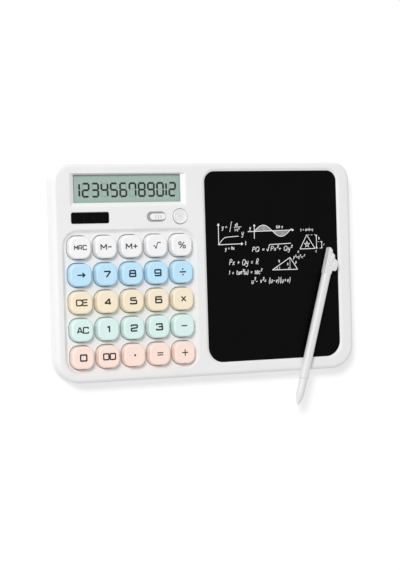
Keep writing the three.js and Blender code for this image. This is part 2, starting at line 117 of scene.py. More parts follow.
FIRST_KEY = middle(mm_box("key_memory_recall"))
LAST_KEY = middle(mm_box("key_plus"))
BODY_PLAN = Plan.around(SHELL_BOX, 0, 15, 15, 10.5, 10.5)
WELL_EDGE = KEY_PITCH / 2 + 1.6
WELL_PLAN = Plan(
    FIRST_KEY[0] - WELL_EDGE, LAST_KEY[1] - WELL_EDGE,
    LAST_KEY[0] + WELL_EDGE, FIRST_KEY[1] + WELL_EDGE, 9)
SCREEN_PLAN = Plan.around(PANEL_BOX, -0.7, 9.5, 9.5, 6.5, 6.5)
DISPLAY_PLAN = Plan.around(WINDOW_BOX, -0.9, 0.5)
DISPLAY_SLOPE = (2.8, 2.3, 2.8, 0.8)
SOLAR_PLAN = Plan.around(SOLAR_BOX, 0.1, 1.0)
SLOT_PLAN = Plan.centred(
    SLIDER_BOX[LOW][0] - 0.2 - 2.0 + 12.2 / 2, middle(SLIDER_BOX)[1], 12.2, 6.0, 2.99)
ERASE_AT = middle(ERASE_BOX)
KEY_FLOOR = FACE - 2.0
PANEL_RAISE = 0.3
CENTRE_PANEL = Plan.centred(0, 0, 124, 60, 6)
HATCH_PLAN = Plan.around(DOOR_BOX, 0.2, 1.0)
HATCH_PLAN.x0 = DOOR_BOX[HIGH][0] - 39.8
TRAY_BOTTOM = KEY_FLOOR - 1.5


# ------------------------------------------------------------------ mesh tools
def ring(bm, plan, z, segments=8):
    """A loop of edges round a plan at one height."""
    corners = [(plan.x0, plan.y0), (plan.x1, plan.y0), (plan.x1, plan.y1), (plan.x0, plan.y1)]
    small = bmesh.new()
    verts = [small.verts.new((x * MM, y * MM, z * MM)) for x, y in corners]
    small.faces.new(verts)
    for vert, radius in zip(verts, plan.radii):
        bmesh.ops.bevel(
            small, geom=[vert], offset=radius * MM, offset_type="OFFSET", segments=segments,
            profile=0.5, affect="VERTICES", material=-1, clamp_overlap=False)
    loop = [vert.co.copy() for vert in small.faces[:][0].verts]
    small.free()
    placed = [bm.verts.new(place) for place in loop]
    return [bm.edges.new((a, b)) for a, b in zip(placed, placed[1:] + placed[:1])]


def fill(bm, *loops):
    """A flat face between an outer loop and the holes in it."""
    edges = [edge for loop in loops for edge in loop]
    made = bmesh.ops.triangle_fill(bm, use_beauty=True, use_dissolve=False, edges=edges, normal=(0, 0, 1))
    return [item for item in made["geom"] if isinstance(item, bmesh.types.BMFace)]


def join(bm, first, second):
    """The faces between two loops: a flat step is filled, and a wall or a slope is bridged."""
    if abs(first[0].verts[0].co.z - second[0].verts[0].co.z) < 1e-7:
        return fill(bm, first, second)
    return bmesh.ops.bridge_loops(bm, edges=first + second)["faces"]


def sweep(bm, plan, profile, segments=8):
    """Joins rings round a plan, one for each (growth, height) of a profile.

    Returns the first and the last ring."""
    loops = [ring(bm, plan.grow(growth), z, segments) for growth, z in profile]
    for lower, upper in zip(loops, loops[1:]):
        join(bm, lower, upper)
    return loops[0], loops[-1]


def arc(growth, z, radius, start, end, steps=5):
    """Points of a quarter round in a profile, about a centre, between two angles in degrees."""
    angles = [math.radians(start + (end - start) * step / steps) for step in range(steps + 1)]
    return [(growth + radius * math.cos(a), z + radius * math.sin(a)) for a in angles]


def cap(bm, loop):
    bmesh.ops.edgeloop_fill(bm, edges=loop)


def solid(bm, plan, profile, segments=8):
    """A sweep closed by a flat face at each end."""
    for loop in sweep(bm, plan, profile, segments):
        cap(bm, loop)


def to_metres(bm):
    bmesh.ops.scale(bm, vec=(MM, MM, MM), verts=bm.verts[:])


def finished(name, bm, body, material, sharp=32, smooth=True):
    """Makes a piece of a mesh, rides it on its body and names the finish it takes."""
    bmesh.ops.remove_doubles(bm, verts=bm.verts[:], dist=1e-7)
    bmesh.ops.recalc_face_normals(bm, faces=bm.faces[:])
    mesh = bpy.data.meshes.new(name)
    bm.to_mesh(mesh)
    bm.free()
    piece = bpy.data.objects.new(name, mesh)
    bpy.context.scene.collection.objects.link(piece)
    for polygon in mesh.polygons:
        polygon.use_smooth = smooth
    if smooth:
        mesh.set_sharp_from_angle(angle=math.radians(sharp))
        weighted = piece.modifiers.new("even_shading", "WEIGHTED_NORMAL")
        weighted.keep_sharp = True
        weighted.weight = 80
    mesh.materials.append(material)
    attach(piece, body)
    return piece


def rounded_bar(bm, plan, z0, z1, radius, segments=6, steps=4):
    """A closed bar on a plan, with its upper edge rounded."""
    profile = [(0, z0)] + arc(-radius, z1 - radius, radius, 0, 90, steps)
    solid(bm, plan, profile, segments)


def apply_cut(piece, cutter_bm, self_crossing=False, operation="DIFFERENCE"):
    """Cuts a closed shape out of a piece, or joins it on, and leaves no modifier behind."""
    bmesh.ops.recalc_face_normals(cutter_bm, faces=cutter_bm.faces[:])
    mesh = bpy.data.meshes.new("cutter")
    cutter_bm.to_mesh(mesh)
    cutter_bm.free()
    cutter = bpy.data.objects.new("cutter", mesh)
    bpy.context.scene.collection.objects.link(cutter)
    cut = piece.modifiers.new("cut", "BOOLEAN")
    cut.operation = operation
    cut.solver = "EXACT"
    cut.use_self = self_crossing
    cut.object = cutter
    bpy.context.view_layer.update()
    graph = bpy.context.evaluated_depsgraph_get()
    result = bpy.data.meshes.new_from_object(piece.evaluated_get(graph))
    piece.modifiers.remove(cut)
    piece.data = result
    bpy.data.objects.remove(cutter)


# ------------------------------------------------------------------ materials
def nodes_of(name):
    material = bpy.data.materials.new(name)
    material.use_nodes = True
    tree = material.node_tree
    shader = tree.nodes["Principled BSDF"]
    place = tree.nodes.new("ShaderNodeTexCoord").outputs["Object"]
    return material, tree, shader, place


def noise(tree, place, scale, detail=2.0, roughness=0.5):
    node = tree.nodes.new("ShaderNodeTexNoise")
    node.inputs["Scale"].default_value = scale
    node.inputs["Detail"].default_value = detail
    node.inputs["Roughness"].default_value = roughness
    tree.links.new(place, node.inputs["Vector"])
    return node.outputs["Fac"]


def spread(tree, value, low, high):
    """Maps a noise onto a narrow range."""
    node = tree.nodes.new("ShaderNodeMapRange")
    node.inputs["From Min"].default_value = 0.3
    node.inputs["From Max"].default_value = 0.7
    node.inputs["To Min"].default_value = low
    node.inputs["To Max"].default_value = high
    tree.links.new(value, node.inputs["Value"])
    return node.outputs["Result"]


def tinted(tree, value, dark, light):
    node = tree.nodes.new("ShaderNodeMix")
    node.data_type = "RGBA"
    node.inputs["A"].default_value = (*dark, 1)
    node.inputs["B"].default_value = (*light, 1)
    tree.links.new(value, node.inputs["Factor"])
    return node.outputs["Result"]


def bumped(tree, shader, height, distance, strength=1.0):
    node = tree.nodes.new("ShaderNodeBump")
    node.inputs["Strength"].default_value = strength
    node.inputs["Distance"].default_value = distance
    tree.links.new(height, node.inputs["Height"])
    tree.links.new(node.outputs["Normal"], shader.inputs["Normal"])
    return node


def plastic(name, color, gloss=(0.38, 0.5), grain=2600, depth=0.000012, tone=0.025, specular=0.4):
    """Moulded plastic: a fine spark-eroded grain, cloudy gloss and a faint drift of colour."""
    material, tree, shader, place = nodes_of(name)
    drift = noise(tree, place, 55, 3)
    dark = [channel * (1 - tone) for channel in color]
    light = [min(channel * (1 + tone), 1) for channel in color]
    tree.links.new(tinted(tree, drift, dark, light), shader.inputs["Base Color"])
    cloud = noise(tree, place, 240, 4, 0.6)
    tree.links.new(spread(tree, cloud, *gloss), shader.inputs["Roughness"])
    bumped(tree, shader, noise(tree, place, grain, 3, 0.6), depth)
    shader.inputs["Specular IOR Level"].default_value = specular
    return material


def ink(name, color):
    """Pad-printed ink: nearly flat, with a slightly mottled edge to its coverage."""
    material, tree, shader, place = nodes_of(name)
    mottle = noise(tree, place, 1800, 3)
    light = [min(channel * 1.35 + 0.01, 1) for channel in color]
    tree.links.new(tinted(tree, mottle, color, light), shader.inputs["Base Color"])
    tree.links.new(spread(tree, mottle, 0.45, 0.6), shader.inputs["Roughness"])
    shader.inputs["Specular IOR Level"].default_value = 0.25
    return material


def metal(name, color, gloss=(0.25, 0.4), grain=900):
    material, tree, shader, place = nodes_of(name)
    stretch = tree.nodes.new("ShaderNodeMapping")
    stretch.inputs["Scale"].default_value = (1, 12, 1)
    tree.links.new(place, stretch.inputs["Vector"])
    brushed = noise(tree, stretch.outputs["Vector"], grain, 3)
    dark = [channel * 0.88 for channel in color]
    tree.links.new(tinted(tree, brushed, dark, color), shader.inputs["Base Color"])
    tree.links.new(spread(tree, brushed, *gloss), shader.inputs["Roughness"])
    shader.inputs["Metallic"].default_value = 1
    bumped(tree, shader, brushed, 0.000008)
    return material


def liquid_crystal(name):
    """The reflective display cell: grey-green, with the fine weave of its rear polariser."""
    material, tree, shader, place = nodes_of(name)
    weave = noise(tree, place, 1500, 4, 0.7)
    tree.links.new(
        tinted(tree, weave, (0.33, 0.447, 0.395), (0.366, 0.479, 0.428)), shader.inputs["Base Color"])
    tree.links.new(spread(tree, weave, 0.35, 0.5), shader.inputs["Roughness"])
    shader.inputs["Specular IOR Level"].default_value = 0.2
    return material


def clear_window(name):
    material, tree, shader, place = nodes_of(name)
    smudge = noise(tree, place, 90, 3)
    tree.links.new(
        tinted(tree, smudge, (0.80, 0.86, 0.83), (0.84, 0.9, 0.87)), shader.inputs["Base Color"])
    tree.links.new(spread(tree, smudge, 0.03, 0.09), shader.inputs["Roughness"])
    shader.inputs["Alpha"].default_value = 0.012
    shader.inputs["Specular IOR Level"].default_value = 0.3
    return material


def writing_film(name):
    """The black writing film: a soft satin skin, faintly uneven where it has been rubbed."""
    material, tree, shader, place = nodes_of(name)
    rubbed = noise(tree, place, 38, 4, 0.6)
    tree.links.new(
        tinted(tree, rubbed, (0.0018, 0.0018, 0.002), (0.003, 0.003, 0.0032)),
        shader.inputs["Base Color"])
    tree.links.new(spread(tree, rubbed, 0.3, 0.42), shader.inputs["Roughness"])
    bumped(tree, shader, noise(tree, place, 3500, 2), 0.000006)
    shader.inputs["Specular IOR Level"].default_value = 0.06
    return material


def solar_film(name):
    """The amorphous solar cell behind its cover: nearly black strips with hairline joints."""
    material, tree, shader, place = nodes_of(name)
    wave = tree.nodes.new("ShaderNodeTexWave")
    wave.bands_direction = "X"
    wave.inputs["Scale"].default_value = 54
    tree.links.new(place, wave.inputs["Vector"])
    joint = tree.nodes.new("ShaderNodeMath")
    joint.operation = "GREATER_THAN"
    joint.inputs[1].default_value = 0.985
    tree.links.new(wave.outputs["Fac"], joint.inputs[0])
    tree.links.new(
        tinted(tree, joint.outputs["Value"], (0.0016, 0.0014, 0.002), (0.005, 0.0045, 0.005)),
        shader.inputs["Base Color"])
    cloud = noise(tree, place, 300, 3)
    tree.links.new(spread(tree, cloud, 0.12, 0.2), shader.inputs["Roughness"])
    shader.inputs["Specular IOR Level"].default_value = 0.08
    return material


SHELL = plastic("satin_white_shell", (0.81, 0.81, 0.81))
# a lighter, glossier copy of the shell plastic for the display's slopes: the lighter colour is a painted
# highlight where the slopes catch the light
BEVEL_HIGHLIGHT_PAINT = plastic("bevel_painted_highlight", (0.85, 0.85, 0.85), gloss=(0.22, 0.3), depth=0.000003)
# dark grey plastic for the floor of the lock slot: painted shade in place of the shadow inside the deep slot
SLOT_PAINTED_SHADE = plastic("slot_painted_shade", (0.38, 0.38, 0.39), gloss=(0.5, 0.6))
# each row of caps: name, colour, name of its ink, colour of its ink
CAP_LOOKS = [
    ("white", (0.876, 0.873, 0.88), "grey", (0.022, 0.022, 0.025)),
    ("blue", (0.507, 0.765, 0.935), "navy", (0.006, 0.018, 0.035)),
    ("cream", (0.90, 0.79, 0.608), "brown", (0.022, 0.013, 0.007)),
    ("mint", (0.686, 0.855, 0.82), "green", (0.006, 0.02, 0.017)),
    ("pink", (0.955, 0.75, 0.668), "umber", (0.02, 0.01, 0.009)),
]
CAP_FINISHES = [plastic(f"keycap_{look[0]}", look[1], gloss=(0.3, 0.42)) for look in CAP_LOOKS]
CAP_INKS = [ink(f"legend_{look[2]}", look[3]) for look in CAP_LOOKS]
KNOB = plastic("slider_white", (0.86, 0.86, 0.86), gloss=(0.3, 0.4))
STYLUS = plastic("stylus_white", (0.74, 0.74, 0.74), gloss=(0.32, 0.45), grain=2000)
FILM = writing_film("writing_film")
CHALK = ink("erasable_stroke", (0.84, 0.86, 0.85))
CRYSTAL = liquid_crystal("liquid_crystal")
SEGMENT = ink("display_segment", (0.002, 0.003, 0.0025))
GHOST = ink("display_ghost", (0.24, 0.34, 0.29))
WINDOW = clear_window("clear_window")
SOLAR = solar_film("solar_film")
RUBBER = plastic("pad_rubber", (0.05, 0.05, 0.052), gloss=(0.7, 0.85), depth=0.00003)
SILICONE = plastic("membrane_silicone", (0.48, 0.5, 0.53), gloss=(0.55, 0.7))
BOARD = plastic("green_board", (0.02, 0.12, 0.05), gloss=(0.35, 0.5), tone=0.2)
RESIN = plastic("black_resin", (0.015, 0.015, 0.016), gloss=(0.35, 0.5))
STEEL = metal("nickel_steel", (0.62, 0.62, 0.63))
GREY_INK = ink("symbol_grey", (0.58, 0.58, 0.6))
# darker grey for the slider's ribs: painted shade standing in for the shading between the ribs
RIB_PAINTED_SHADE = plastic("rib_painted_shade", (0.55, 0.55, 0.56), gloss=(0.35, 0.45))


# ------------------------------------------------------------------ shells
def display_ring(bm, share, z):
    """One loop of the display's sloped frame, from the window (0) out to its rim (1)."""
    return ring(bm, DISPLAY_PLAN.stretch(*[side * share for side in DISPLAY_SLOPE]), z)


# material slots of the front shell: the painted highlight of the display slopes, and the painted shade of the
# lock slot floor
BEVEL_HIGHLIGHT_INDEX, SLOT_SHADE_INDEX = 1, 2


def front_face_openings(bm):
    """The rim on the face and the mouth at the ceiling of each opening, as pairs of loops."""
    well_profile = [
        (1.1, FACE), (0.8, FACE - 0.03), (0.5, FACE - 0.15), (-0.85, KEY_FLOOR + 0.5),
        (-1.25, KEY_FLOOR + 0.2), (-1.6, KEY_FLOOR + 0.06), (-2.0, KEY_FLOOR)]
    well_rim, well_floor = sweep(bm, WELL_PLAN, well_profile, 14)
    screen_profile = [
        (1.75, FACE), (1.55, FACE - 0.03), (1.35, FACE - 0.12), (0.25, FACE - 0.62),
        (0.08, FACE - 0.74), (0, FACE - 0.95), (0, PANEL_BOX[HIGH][2] + 0.05),
        (0.8, PANEL_BOX[HIGH][2] + 0.05), (0.8, CEILING)]
    screen_rim, screen_mouth = sweep(bm, SCREEN_PLAN, screen_profile, 14)
    display = [
        display_ring(bm, 1.06, FACE), display_ring(bm, 0.98, FACE - 0.06),
        display_ring(bm, 0.06, FACE - 1.55), display_ring(bm, 0, FACE - 1.68)]
    # the display's sloped frame takes the lighter plastic: a painted highlight on the slopes
    for upper, lower in zip(display, display[1:]):
        for face in join(bm, upper, lower):
            face.material_index = BEVEL_HIGHLIGHT_INDEX
    window_top = WINDOW_BOX[HIGH][2] + 0.1
    block = DISPLAY_PLAN.grow(2.6)
    throat = [
        display[-1], ring(bm, DISPLAY_PLAN, window_top), ring(bm, DISPLAY_PLAN.grow(1), window_top),
        ring(bm, DISPLAY_PLAN.grow(1), GLASS_BOX[LOW][2]), ring(bm, block, GLASS_BOX[LOW][2]),
        ring(bm, block, CEILING)]
    for upper, lower in zip(throat, throat[1:]):
        join(bm, upper, lower)
    solar_rim, solar_mouth = sweep(bm, SOLAR_PLAN, [
        (0.45, FACE), (0.35, FACE - 0.04), (0.05, FACE - 0.4), (0, FACE - 0.5),
        (0, SOLAR_BOX[LOW][2] - 0.1), (-1, SOLAR_BOX[LOW][2] - 0.1), (-1, CEILING)], 6)
    slot_rim, slot_floor = sweep(bm, SLOT_PLAN, [
        (0.3, FACE), (0.2, FACE - 0.03), (0.05, FACE - 0.12), (0, FACE - 0.3), (0, FACE - 1)], 12)
    stem = Plan.centred((SLOT_PLAN.x0 + SLOT_PLAN.x1) / 2, middle(SLIDER_BOX)[1], 7, 2.4, 0.5)
    stem_top, stem_mouth = sweep(bm, stem, [(0, FACE - 1), (0, CEILING)], 4)
    # the lock slot's floor is coloured dark grey: painted shade for the shadow inside the slot
    for face in fill(bm, slot_floor, stem_top):
        face.material_index = SLOT_SHADE_INDEX
    hole = Plan.centred(*ERASE_AT, 9.4, 9.4, 4.69)
    erase_rim, erase_mouth = sweep(bm, hole, [
        (0.25, FACE), (0.12, FACE - 0.04), (0, FACE - 0.25), (0, CEILING)], 12)
    rims = [well_rim, screen_rim, display[0], solar_rim, slot_rim, erase_rim]
    mouths = [screen_mouth, throat[-1], solar_mouth, stem_mouth, erase_mouth]
    return rims, mouths, well_floor


def key_floor(bm, well_floor):
    """The floor of the keypad well and its underside, joined through the key holes."""
    tops, bottoms = [], []
    for names in KEY_ROWS:
        for name in names:
            x, y = middle(mm_box(f"key_{name}"))
            hole = Plan.centred(x, y, CAP_SIZE, CAP_SIZE, CAP_CORNER).grow(KEY_GAP)
            top, bottom = sweep(bm, hole, [
                (0.12, KEY_FLOOR), (0, KEY_FLOOR - 0.15), (0, TRAY_BOTTOM)], 6)
            tops.append(top)
            bottoms.append(bottom)
    fill(bm, well_floor, *tops)
    tray_bottom, tray_top = sweep(bm, WELL_PLAN.grow(1.6), [(0, TRAY_BOTTOM), (0, CEILING)], 14)
    fill(bm, tray_bottom, *bottoms)
    return tray_top


def garage_cutter():
    """The slot in the right side that the stylus is pushed into."""
    cutter = bmesh.new()
    opening = next(o for o in frame["record"]["physics"]["openings"] if o["name"] == "stylus_garage")
    (x0, y0, z0), (x1, y1, z1) = opening["box_m"]
    size = Vector((x1 - x0, y1 - y0 + 0.0006, z1 - z0 + 0.0004))
    centre = Vector((x0 + x1, y0 + y1, z0 + z1)) / 2 + Vector((x1 - x0 - 0.006, 0, 0))
    bmesh.ops.create_cube(cutter, size=1, matrix=Matrix.Translation(centre) @ Matrix.Diagonal((*size, 1)))
    long_edges = [e for e in cutter.edges if abs(e.verts[0].co.x - e.verts[1].co.x) > 0.01]
    bmesh.ops.bevel(
        cutter, geom=long_edges, offset=0.0009, offset_type="OFFSET", segments=5, profile=0.5,
        affect="EDGES", material=-1)
    return cutter


def front_shell():
    bm = bmesh.new()
    rims, mouths, well_floor = front_face_openings(bm)
    outer_profile = (
        [(-WALL, CEILING), (-WALL, PARTING), (-0.25, PARTING), (0, PARTING + 0.25)]
        + arc(-2.6, FACE - 2.6, 2.6, 0, 90, 8))
    ceiling_edge, face_edge = sweep(bm, BODY_PLAN, outer_profile, 18)
    fill(bm, face_edge, *rims)
    tray_top = key_floor(bm, well_floor)
    fill(bm, ceiling_edge, tray_top, *mouths)
    piece = finished("housing_front", bm, HOUSING, SHELL)
    piece.data.materials.append(BEVEL_HIGHLIGHT_PAINT)
    piece.data.materials.append(SLOT_PAINTED_SHADE)
    apply_cut(piece, garage_cutter())
    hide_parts("front_shell")
    return piece


def back_shell():
    """The rear cover, with a raised centre panel that holds the battery hatch."""
    bm = bmesh.new()
    inside = PARTING - 0.1
    profile = ([(-WALL, WALL), (-WALL, inside), (-0.35, inside), (-0.1, inside - 0.25), (0, inside - 0.6)]
               + arc(-1.8, PANEL_RAISE + 1.8, 1.8, 0, -90, 8))
    floor_edge, under_edge = sweep(bm, BODY_PLAN, profile, 18)
    panel_foot, panel_edge = sweep(bm, CENTRE_PANEL, [(0.3, PANEL_RAISE), (0.06, 0.05), (0, 0)], 10)
    hatch_under, hatch_floor = sweep(bm, HATCH_PLAN, [(0.2, 0), (0, 0.2), (0, WALL)], 5)
    unders, floors = [panel_foot], [hatch_floor]
    for index in range(1, 7):
        x, y = middle(mm_box(f"screw_{index}"))
        well = Plan.centred(x, y, 4.3, 4.3, 2.14)
        post = Plan.centred(x, y, 5.8, 5.8, 2.89)
        mouth, shelf = sweep(bm, well, [
            (0.35, PANEL_RAISE), (0, PANEL_RAISE + 0.35), (0, 2.1), (-0.95, 2.1)], 8)
        bore = ring(bm, well.grow(-0.95), inside, 8)
        post_top, post_foot = sweep(bm, post, [(0, inside), (0, WALL)], 8)
        join(bm, shelf, bore)
        join(bm, bore, post_top)
        unders.append(mouth)
        floors.append(post_foot)
    fill(bm, under_edge, *unders)
    fill(bm, panel_edge, hatch_under)
    fill(bm, floor_edge, *floors)
    piece = finished("housing_back", bm, HOUSING, SHELL)
    apply_cut(piece, garage_cutter())
    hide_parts("back_shell")
    return piece


def battery_hatch():
    """The battery cover: a flush plate with a ribbed thumb pocket and two hooked tabs."""
    low, high = DOOR_BOX
    plate = HATCH_PLAN.grow(-0.2)
    thickness = 1.4
    bm = bmesh.new()
    inner, outer = sweep(bm, plate, [(0, thickness), (0, 0.2), (-0.2, 0)], 5)
    cap(bm, inner)
    pocket = Plan.centred(plate.x1 - 6.5, (plate.y0 + plate.y1) / 2, 7, 13, 2.2)
    rim, pit = sweep(bm, pocket, [(0.25, 0), (0.05, 0.12), (0, 0.3), (-0.4, 0.55)], 6)
    fill(bm, outer, rim)
    cap(bm, pit)
    for step in range(5):
        rib = Plan.centred(pocket.x0 + 1.3 + 1.1 * step, (pocket.y0 + pocket.y1) / 2, 0.5, 9.4, 0.24)
        solid(bm, rib, [(-0.12, 0.08), (0, 0.2), (0, 0.7)], 3)
    for side in (-1, 1):
        y = (plate.y0 + plate.y1) / 2 + side * 6
        root = Plan(plate.x0 + 0.4, y - 2, plate.x0 + 1.2, y + 2, 0.1)
        arm = Plan(low[0], y - 2, plate.x0 + 1.2, y + 2, 0.3)
        rounded_bar(bm, root, thickness - 0.2, high[2] - 0.7, 0.05, 2, 1)
        rounded_bar(bm, arm, high[2] - 0.8, high[2], 0.25, 4, 3)
    piece = finished("battery_hatch", bm, "battery_door", SHELL)
    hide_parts("battery_door")


def case_screw(index):
    """A pan-head screw with a cross recess, seen from below."""
    node = f"screw_{index}"
    low, high = mm_box(node)
    x, y = middle((low, high))
    head = (high[0] - low[0]) / 2
    head_top = low[2] + 1.4
    bm = bmesh.new()
    turns_of_crown = [math.radians(degrees) for degrees in range(10, 91, 16)]
    crown = [(head - 0.75 + 0.75 * math.sin(a), low[2] + 0.75 - 0.75 * math.cos(a)) for a in turns_of_crown]
    shank = [(head, head_top), (0.95, head_top), (0.95, head_top + 0.4)]
    turns = [(radius, head_top + 0.6 + 0.6 * step + lift) for step in range(8)
             for radius, lift in ((0.72, 0.15), (0.95, 0.3), (0.95, 0.38))]
    end = [(0.7, high[2] - 0.7), (0.15, high[2])]
    stem = Plan.centred(x, y, 0.2, 0.2, 0.09)
    solid(bm, stem, [(radius - 0.1, z) for radius, z in crown + shank + turns + end], 6)
    piece = finished(f"case_{node}", bm, HOUSING, STEEL)
    cross = bmesh.new()
    for length, width in ((2.3, 0.5), (0.5, 2.3)):
        place = Matrix.Translation((x * MM, y * MM, low[2] * MM))
        slot = place @ Matrix.Diagonal((length * MM, width * MM, 0.0014, 1))
        bmesh.ops.create_cube(cross, size=1, matrix=slot)
    apply_cut(piece, cross, self_crossing=True)
    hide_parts(node)


def pad(index):
    """A soft foot with a shallow dimple in its underside."""
    node = f"foot_{index}"
    low, high = mm_box(node)
    x, y = middle((low, high))
    width = high[0] - low[0]
    bm = bmesh.new()
    profile = [(0, high[2])] + arc(-0.45, low[2] + 0.45, 0.45, 0, -90, 4)
    profile += [(-1.5, low[2]), (-1.9, low[2] + 0.12), (-2.6, low[2] + 0.2), (-3.9, low[2] + 0.22)]
    solid(bm, Plan.centred(x, y, width, width, width / 2 - 0.01), profile, 12)
    piece = finished(f"pad_{index}", bm, HOUSING, RUBBER)
    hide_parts(node)


# ------------------------------------------------------------------ keys
def dished(bm, loop, steps):
    """Fills a loop and draws its face in and down by steps of (share kept, drop)."""
    face = bmesh.ops.edgeloop_fill(bm, edges=loop)["faces"][0]
    for share, drop in steps:
        face = bmesh.ops.extrude_discrete_faces(bm, faces=[face])["faces"][0]
        around = Matrix.Translation(-face.calc_center_median())
        bmesh.ops.scale(bm, vec=(share, share, 1), space=around, verts=face.verts[:])
        bmesh.ops.translate(bm, vec=(0, 0, -drop * MM), verts=face.verts[:])


def keycap(name, row):
    """A keycap on its flange, with a shallow dish. Returns its surface, for the legend to lie on."""
    low, high = mm_box(f"key_{name}")
    x, y = middle((low, high))
    plan = Plan.centred(x, y, CAP_SIZE, CAP_SIZE, CAP_CORNER)
    top = high[2]
    bm = bmesh.new()
    skirt = [(0.7, low[2]), (0.7, low[2] + 0.9), (0, low[2] + 0.9), (0, KEY_FLOOR + 1.2)]
    shoulder = [(-0.1, top - 1.3)] + arc(-1.12, top - 1.0, 1.0, 0, 84, 8)
    lower, upper = sweep(bm, plan, skirt + shoulder, 9)
    cap(bm, lower)
    dished(bm, upper, [(0.93, 0.005), (0.86, 0.03), (0.8, 0.04), (0.7, 0.03), (0.5, 0.01)])
    surface = BVHTree.FromBMesh(bm)
    piece = finished(f"keycap_{name}", bm, f"key_{name}", CAP_FINISHES[row], sharp=50)
    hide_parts(f"key_{name}")
    return surface


front_shell()
back_shell()
battery_hatch()
for number in range(1, 7):
    case_screw(number)
for number in range(1, 5):
    pad(number)


# ------------------------------------------------------------------ drawn strokes and printed legends
def soften(points, closed, radius):
    """Adds a point either side of each corner, so that a smooth stroke turns it tightly."""
    soft = []
    for index, corner in enumerate(points):
        if not closed and index in (0, len(points) - 1):
            soft.append(corner)
            continue
        legs = [points[index - 1] - corner, points[(index + 1) % len(points)] - corner]
        near, far = [corner + leg.normalized() * min(radius, leg.length * 0.45) for leg in legs]
        soft += [near, corner, far]
    return soft


def drawn(paths, width, corner=0.6, thickness=0.05):
    """A mesh of flattened strokes with square ends, in millimetres. A path is (points, closed).

    A corner of None draws every path as one smooth line through the bends of its points."""
    curve = bpy.data.curves.new("stroke", "CURVE")
    curve.dimensions = "3D"
    curve.bevel_depth = width / 2
    curve.bevel_resolution = 1
    curve.use_fill_caps = True
    for points, closed in paths:
        places = [Vector((x, y, 0)) for x, y in points]
        soft = soften(places, closed, corner) if corner and len(points) > 2 else places
        spline = curve.splines.new("NURBS")
        spline.points.add(len(soft) - 1)
        for point, place in zip(spline.points, soft):
            point.co = (place.x, place.y, 0, 1)
        spline.use_cyclic_u = closed
        spline.use_endpoint_u = not closed
        spline.order_u = 3 if len(soft) > 2 else 2
        spline.resolution_u = 4 if corner else 3
    holder = bpy.data.objects.new("stroke", curve)
    bpy.context.scene.collection.objects.link(holder)
    bpy.context.view_layer.update()
    graph = bpy.context.evaluated_depsgraph_get()
    mesh = bpy.data.meshes.new_from_object(holder.evaluated_get(graph))
    bpy.data.objects.remove(holder)
    bm = bmesh.new()
    bm.from_mesh(mesh)
    bmesh.ops.remove_doubles(bm, verts=bm.verts[:], dist=1e-5)
    bmesh.ops.scale(bm, vec=(1, 1, thickness / width), verts=bm.verts[:])
    return bm


def merge(target, source):
    """Adds one mesh to another."""
    mesh = bpy.data.meshes.new("part")
    source.to_mesh(mesh)
    source.free()
    target.from_mesh(mesh)
    bpy.data.meshes.remove(mesh)


LINE, LOOP = False, True
GLYPHS = {
    "0": [([(0, 0), (1, 0), (1, 1), (0, 1)], LOOP)],
    "1": [([(0.3, 0.78), (0.62, 1), (0.62, 0)], LINE)],
    "2": [([(0, 0.74), (0, 1), (1, 1), (1, 0.52), (0, 0.44), (0, 0), (1, 0)], LINE)],
    "3": [([(0, 0.78), (0, 1), (0.96, 1), (0.96, 0.52), (0.35, 0.52)], LINE),
          ([(0.38, 0.52), (1, 0.52), (1, 0), (0, 0), (0, 0.22)], LINE)],
    "4": [([(0.76, 0), (0.76, 1), (0, 0.26), (1, 0.26)], LINE)],
    "5": [([(0.95, 1), (0.05, 1), (0.05, 0.58), (1, 0.58), (1, 0), (0, 0), (0, 0.16)], LINE)],
    "6": [([(0.95, 0.84), (0.95, 1), (0, 1), (0, 0), (1, 0), (1, 0.58), (0.05, 0.58)], LINE)],
    "7": [([(0, 1), (1, 1), (0.98, 0.86), (0.36, 0)], LINE)],
    "8": [([(0.05, 0.53), (0.95, 0.53), (0.95, 1), (0.05, 1)], LOOP),
          ([(0, 0), (1, 0), (1, 0.52), (0, 0.52)], LOOP)],
    "9": [([(0.05, 0.16), (0.05, 0), (1, 0), (1, 1), (0, 1), (0, 0.42), (0.95, 0.42)], LINE)],
    "A": [([(0, 0), (0.42, 0.98), (0.58, 0.98), (1, 0)], LINE), ([(0.2, 0.28), (0.8, 0.28)], LINE)],
    "C": [([(1, 0.74), (1, 1), (0, 1), (0, 0), (1, 0), (1, 0.26)], LINE)],
    "E": [([(1, 1), (0, 1), (0, 0), (1, 0)], LINE), ([(0.05, 0.52), (0.92, 0.52)], LINE)],
    "M": [([(0, 0), (0, 1), (0.5, 0.3), (1, 1), (1, 0)], LINE)],
    "R": [([(0, 0), (0, 1), (0.98, 1), (0.98, 0.42), (0.05, 0.42)], LINE),
          ([(0.6, 0.42), (1, 0)], LINE)],
    "+": [([(0, 0.5), (1, 0.5)], LINE), ([(0.5, 0), (0.5, 1)], LINE)],
    "-": [([(0, 0.5), (1, 0.5)], LINE)],
    "=": [([(0, 0.3), (1, 0.3)], LINE), ([(0, 0.7), (1, 0.7)], LINE)],
    "x": [([(0.08, 0.08), (0.92, 0.92)], LINE), ([(0.08, 0.92), (0.92, 0.08)], LINE)],
    "/": [([(0, 0.5), (1, 0.5)], LINE), ([(0.39, 0.93), (0.61, 0.93)], LINE),
          ([(0.39, 0.07), (0.61, 0.07)], LINE)],
    ".": [([(0, 0.5), (1, 0.5)], LINE)],
    ">": [([(0, 0.5), (1, 0.5)], LINE), ([(0.66, 0.16), (1, 0.5), (0.66, 0.84)], LINE)],
    "v": [([(0, 0.42), (0.16, 0.52), (0.36, 0), (0.56, 1), (1, 1)], LINE)],
    "%": [([(0.82, 1), (0.18, 0)], LINE), ([(0, 0.58), (0.34, 0.58), (0.34, 1), (0, 1)], LOOP),
          ([(0.66, 0), (1, 0), (1, 0.42), (0.66, 0.42)], LOOP)],
}
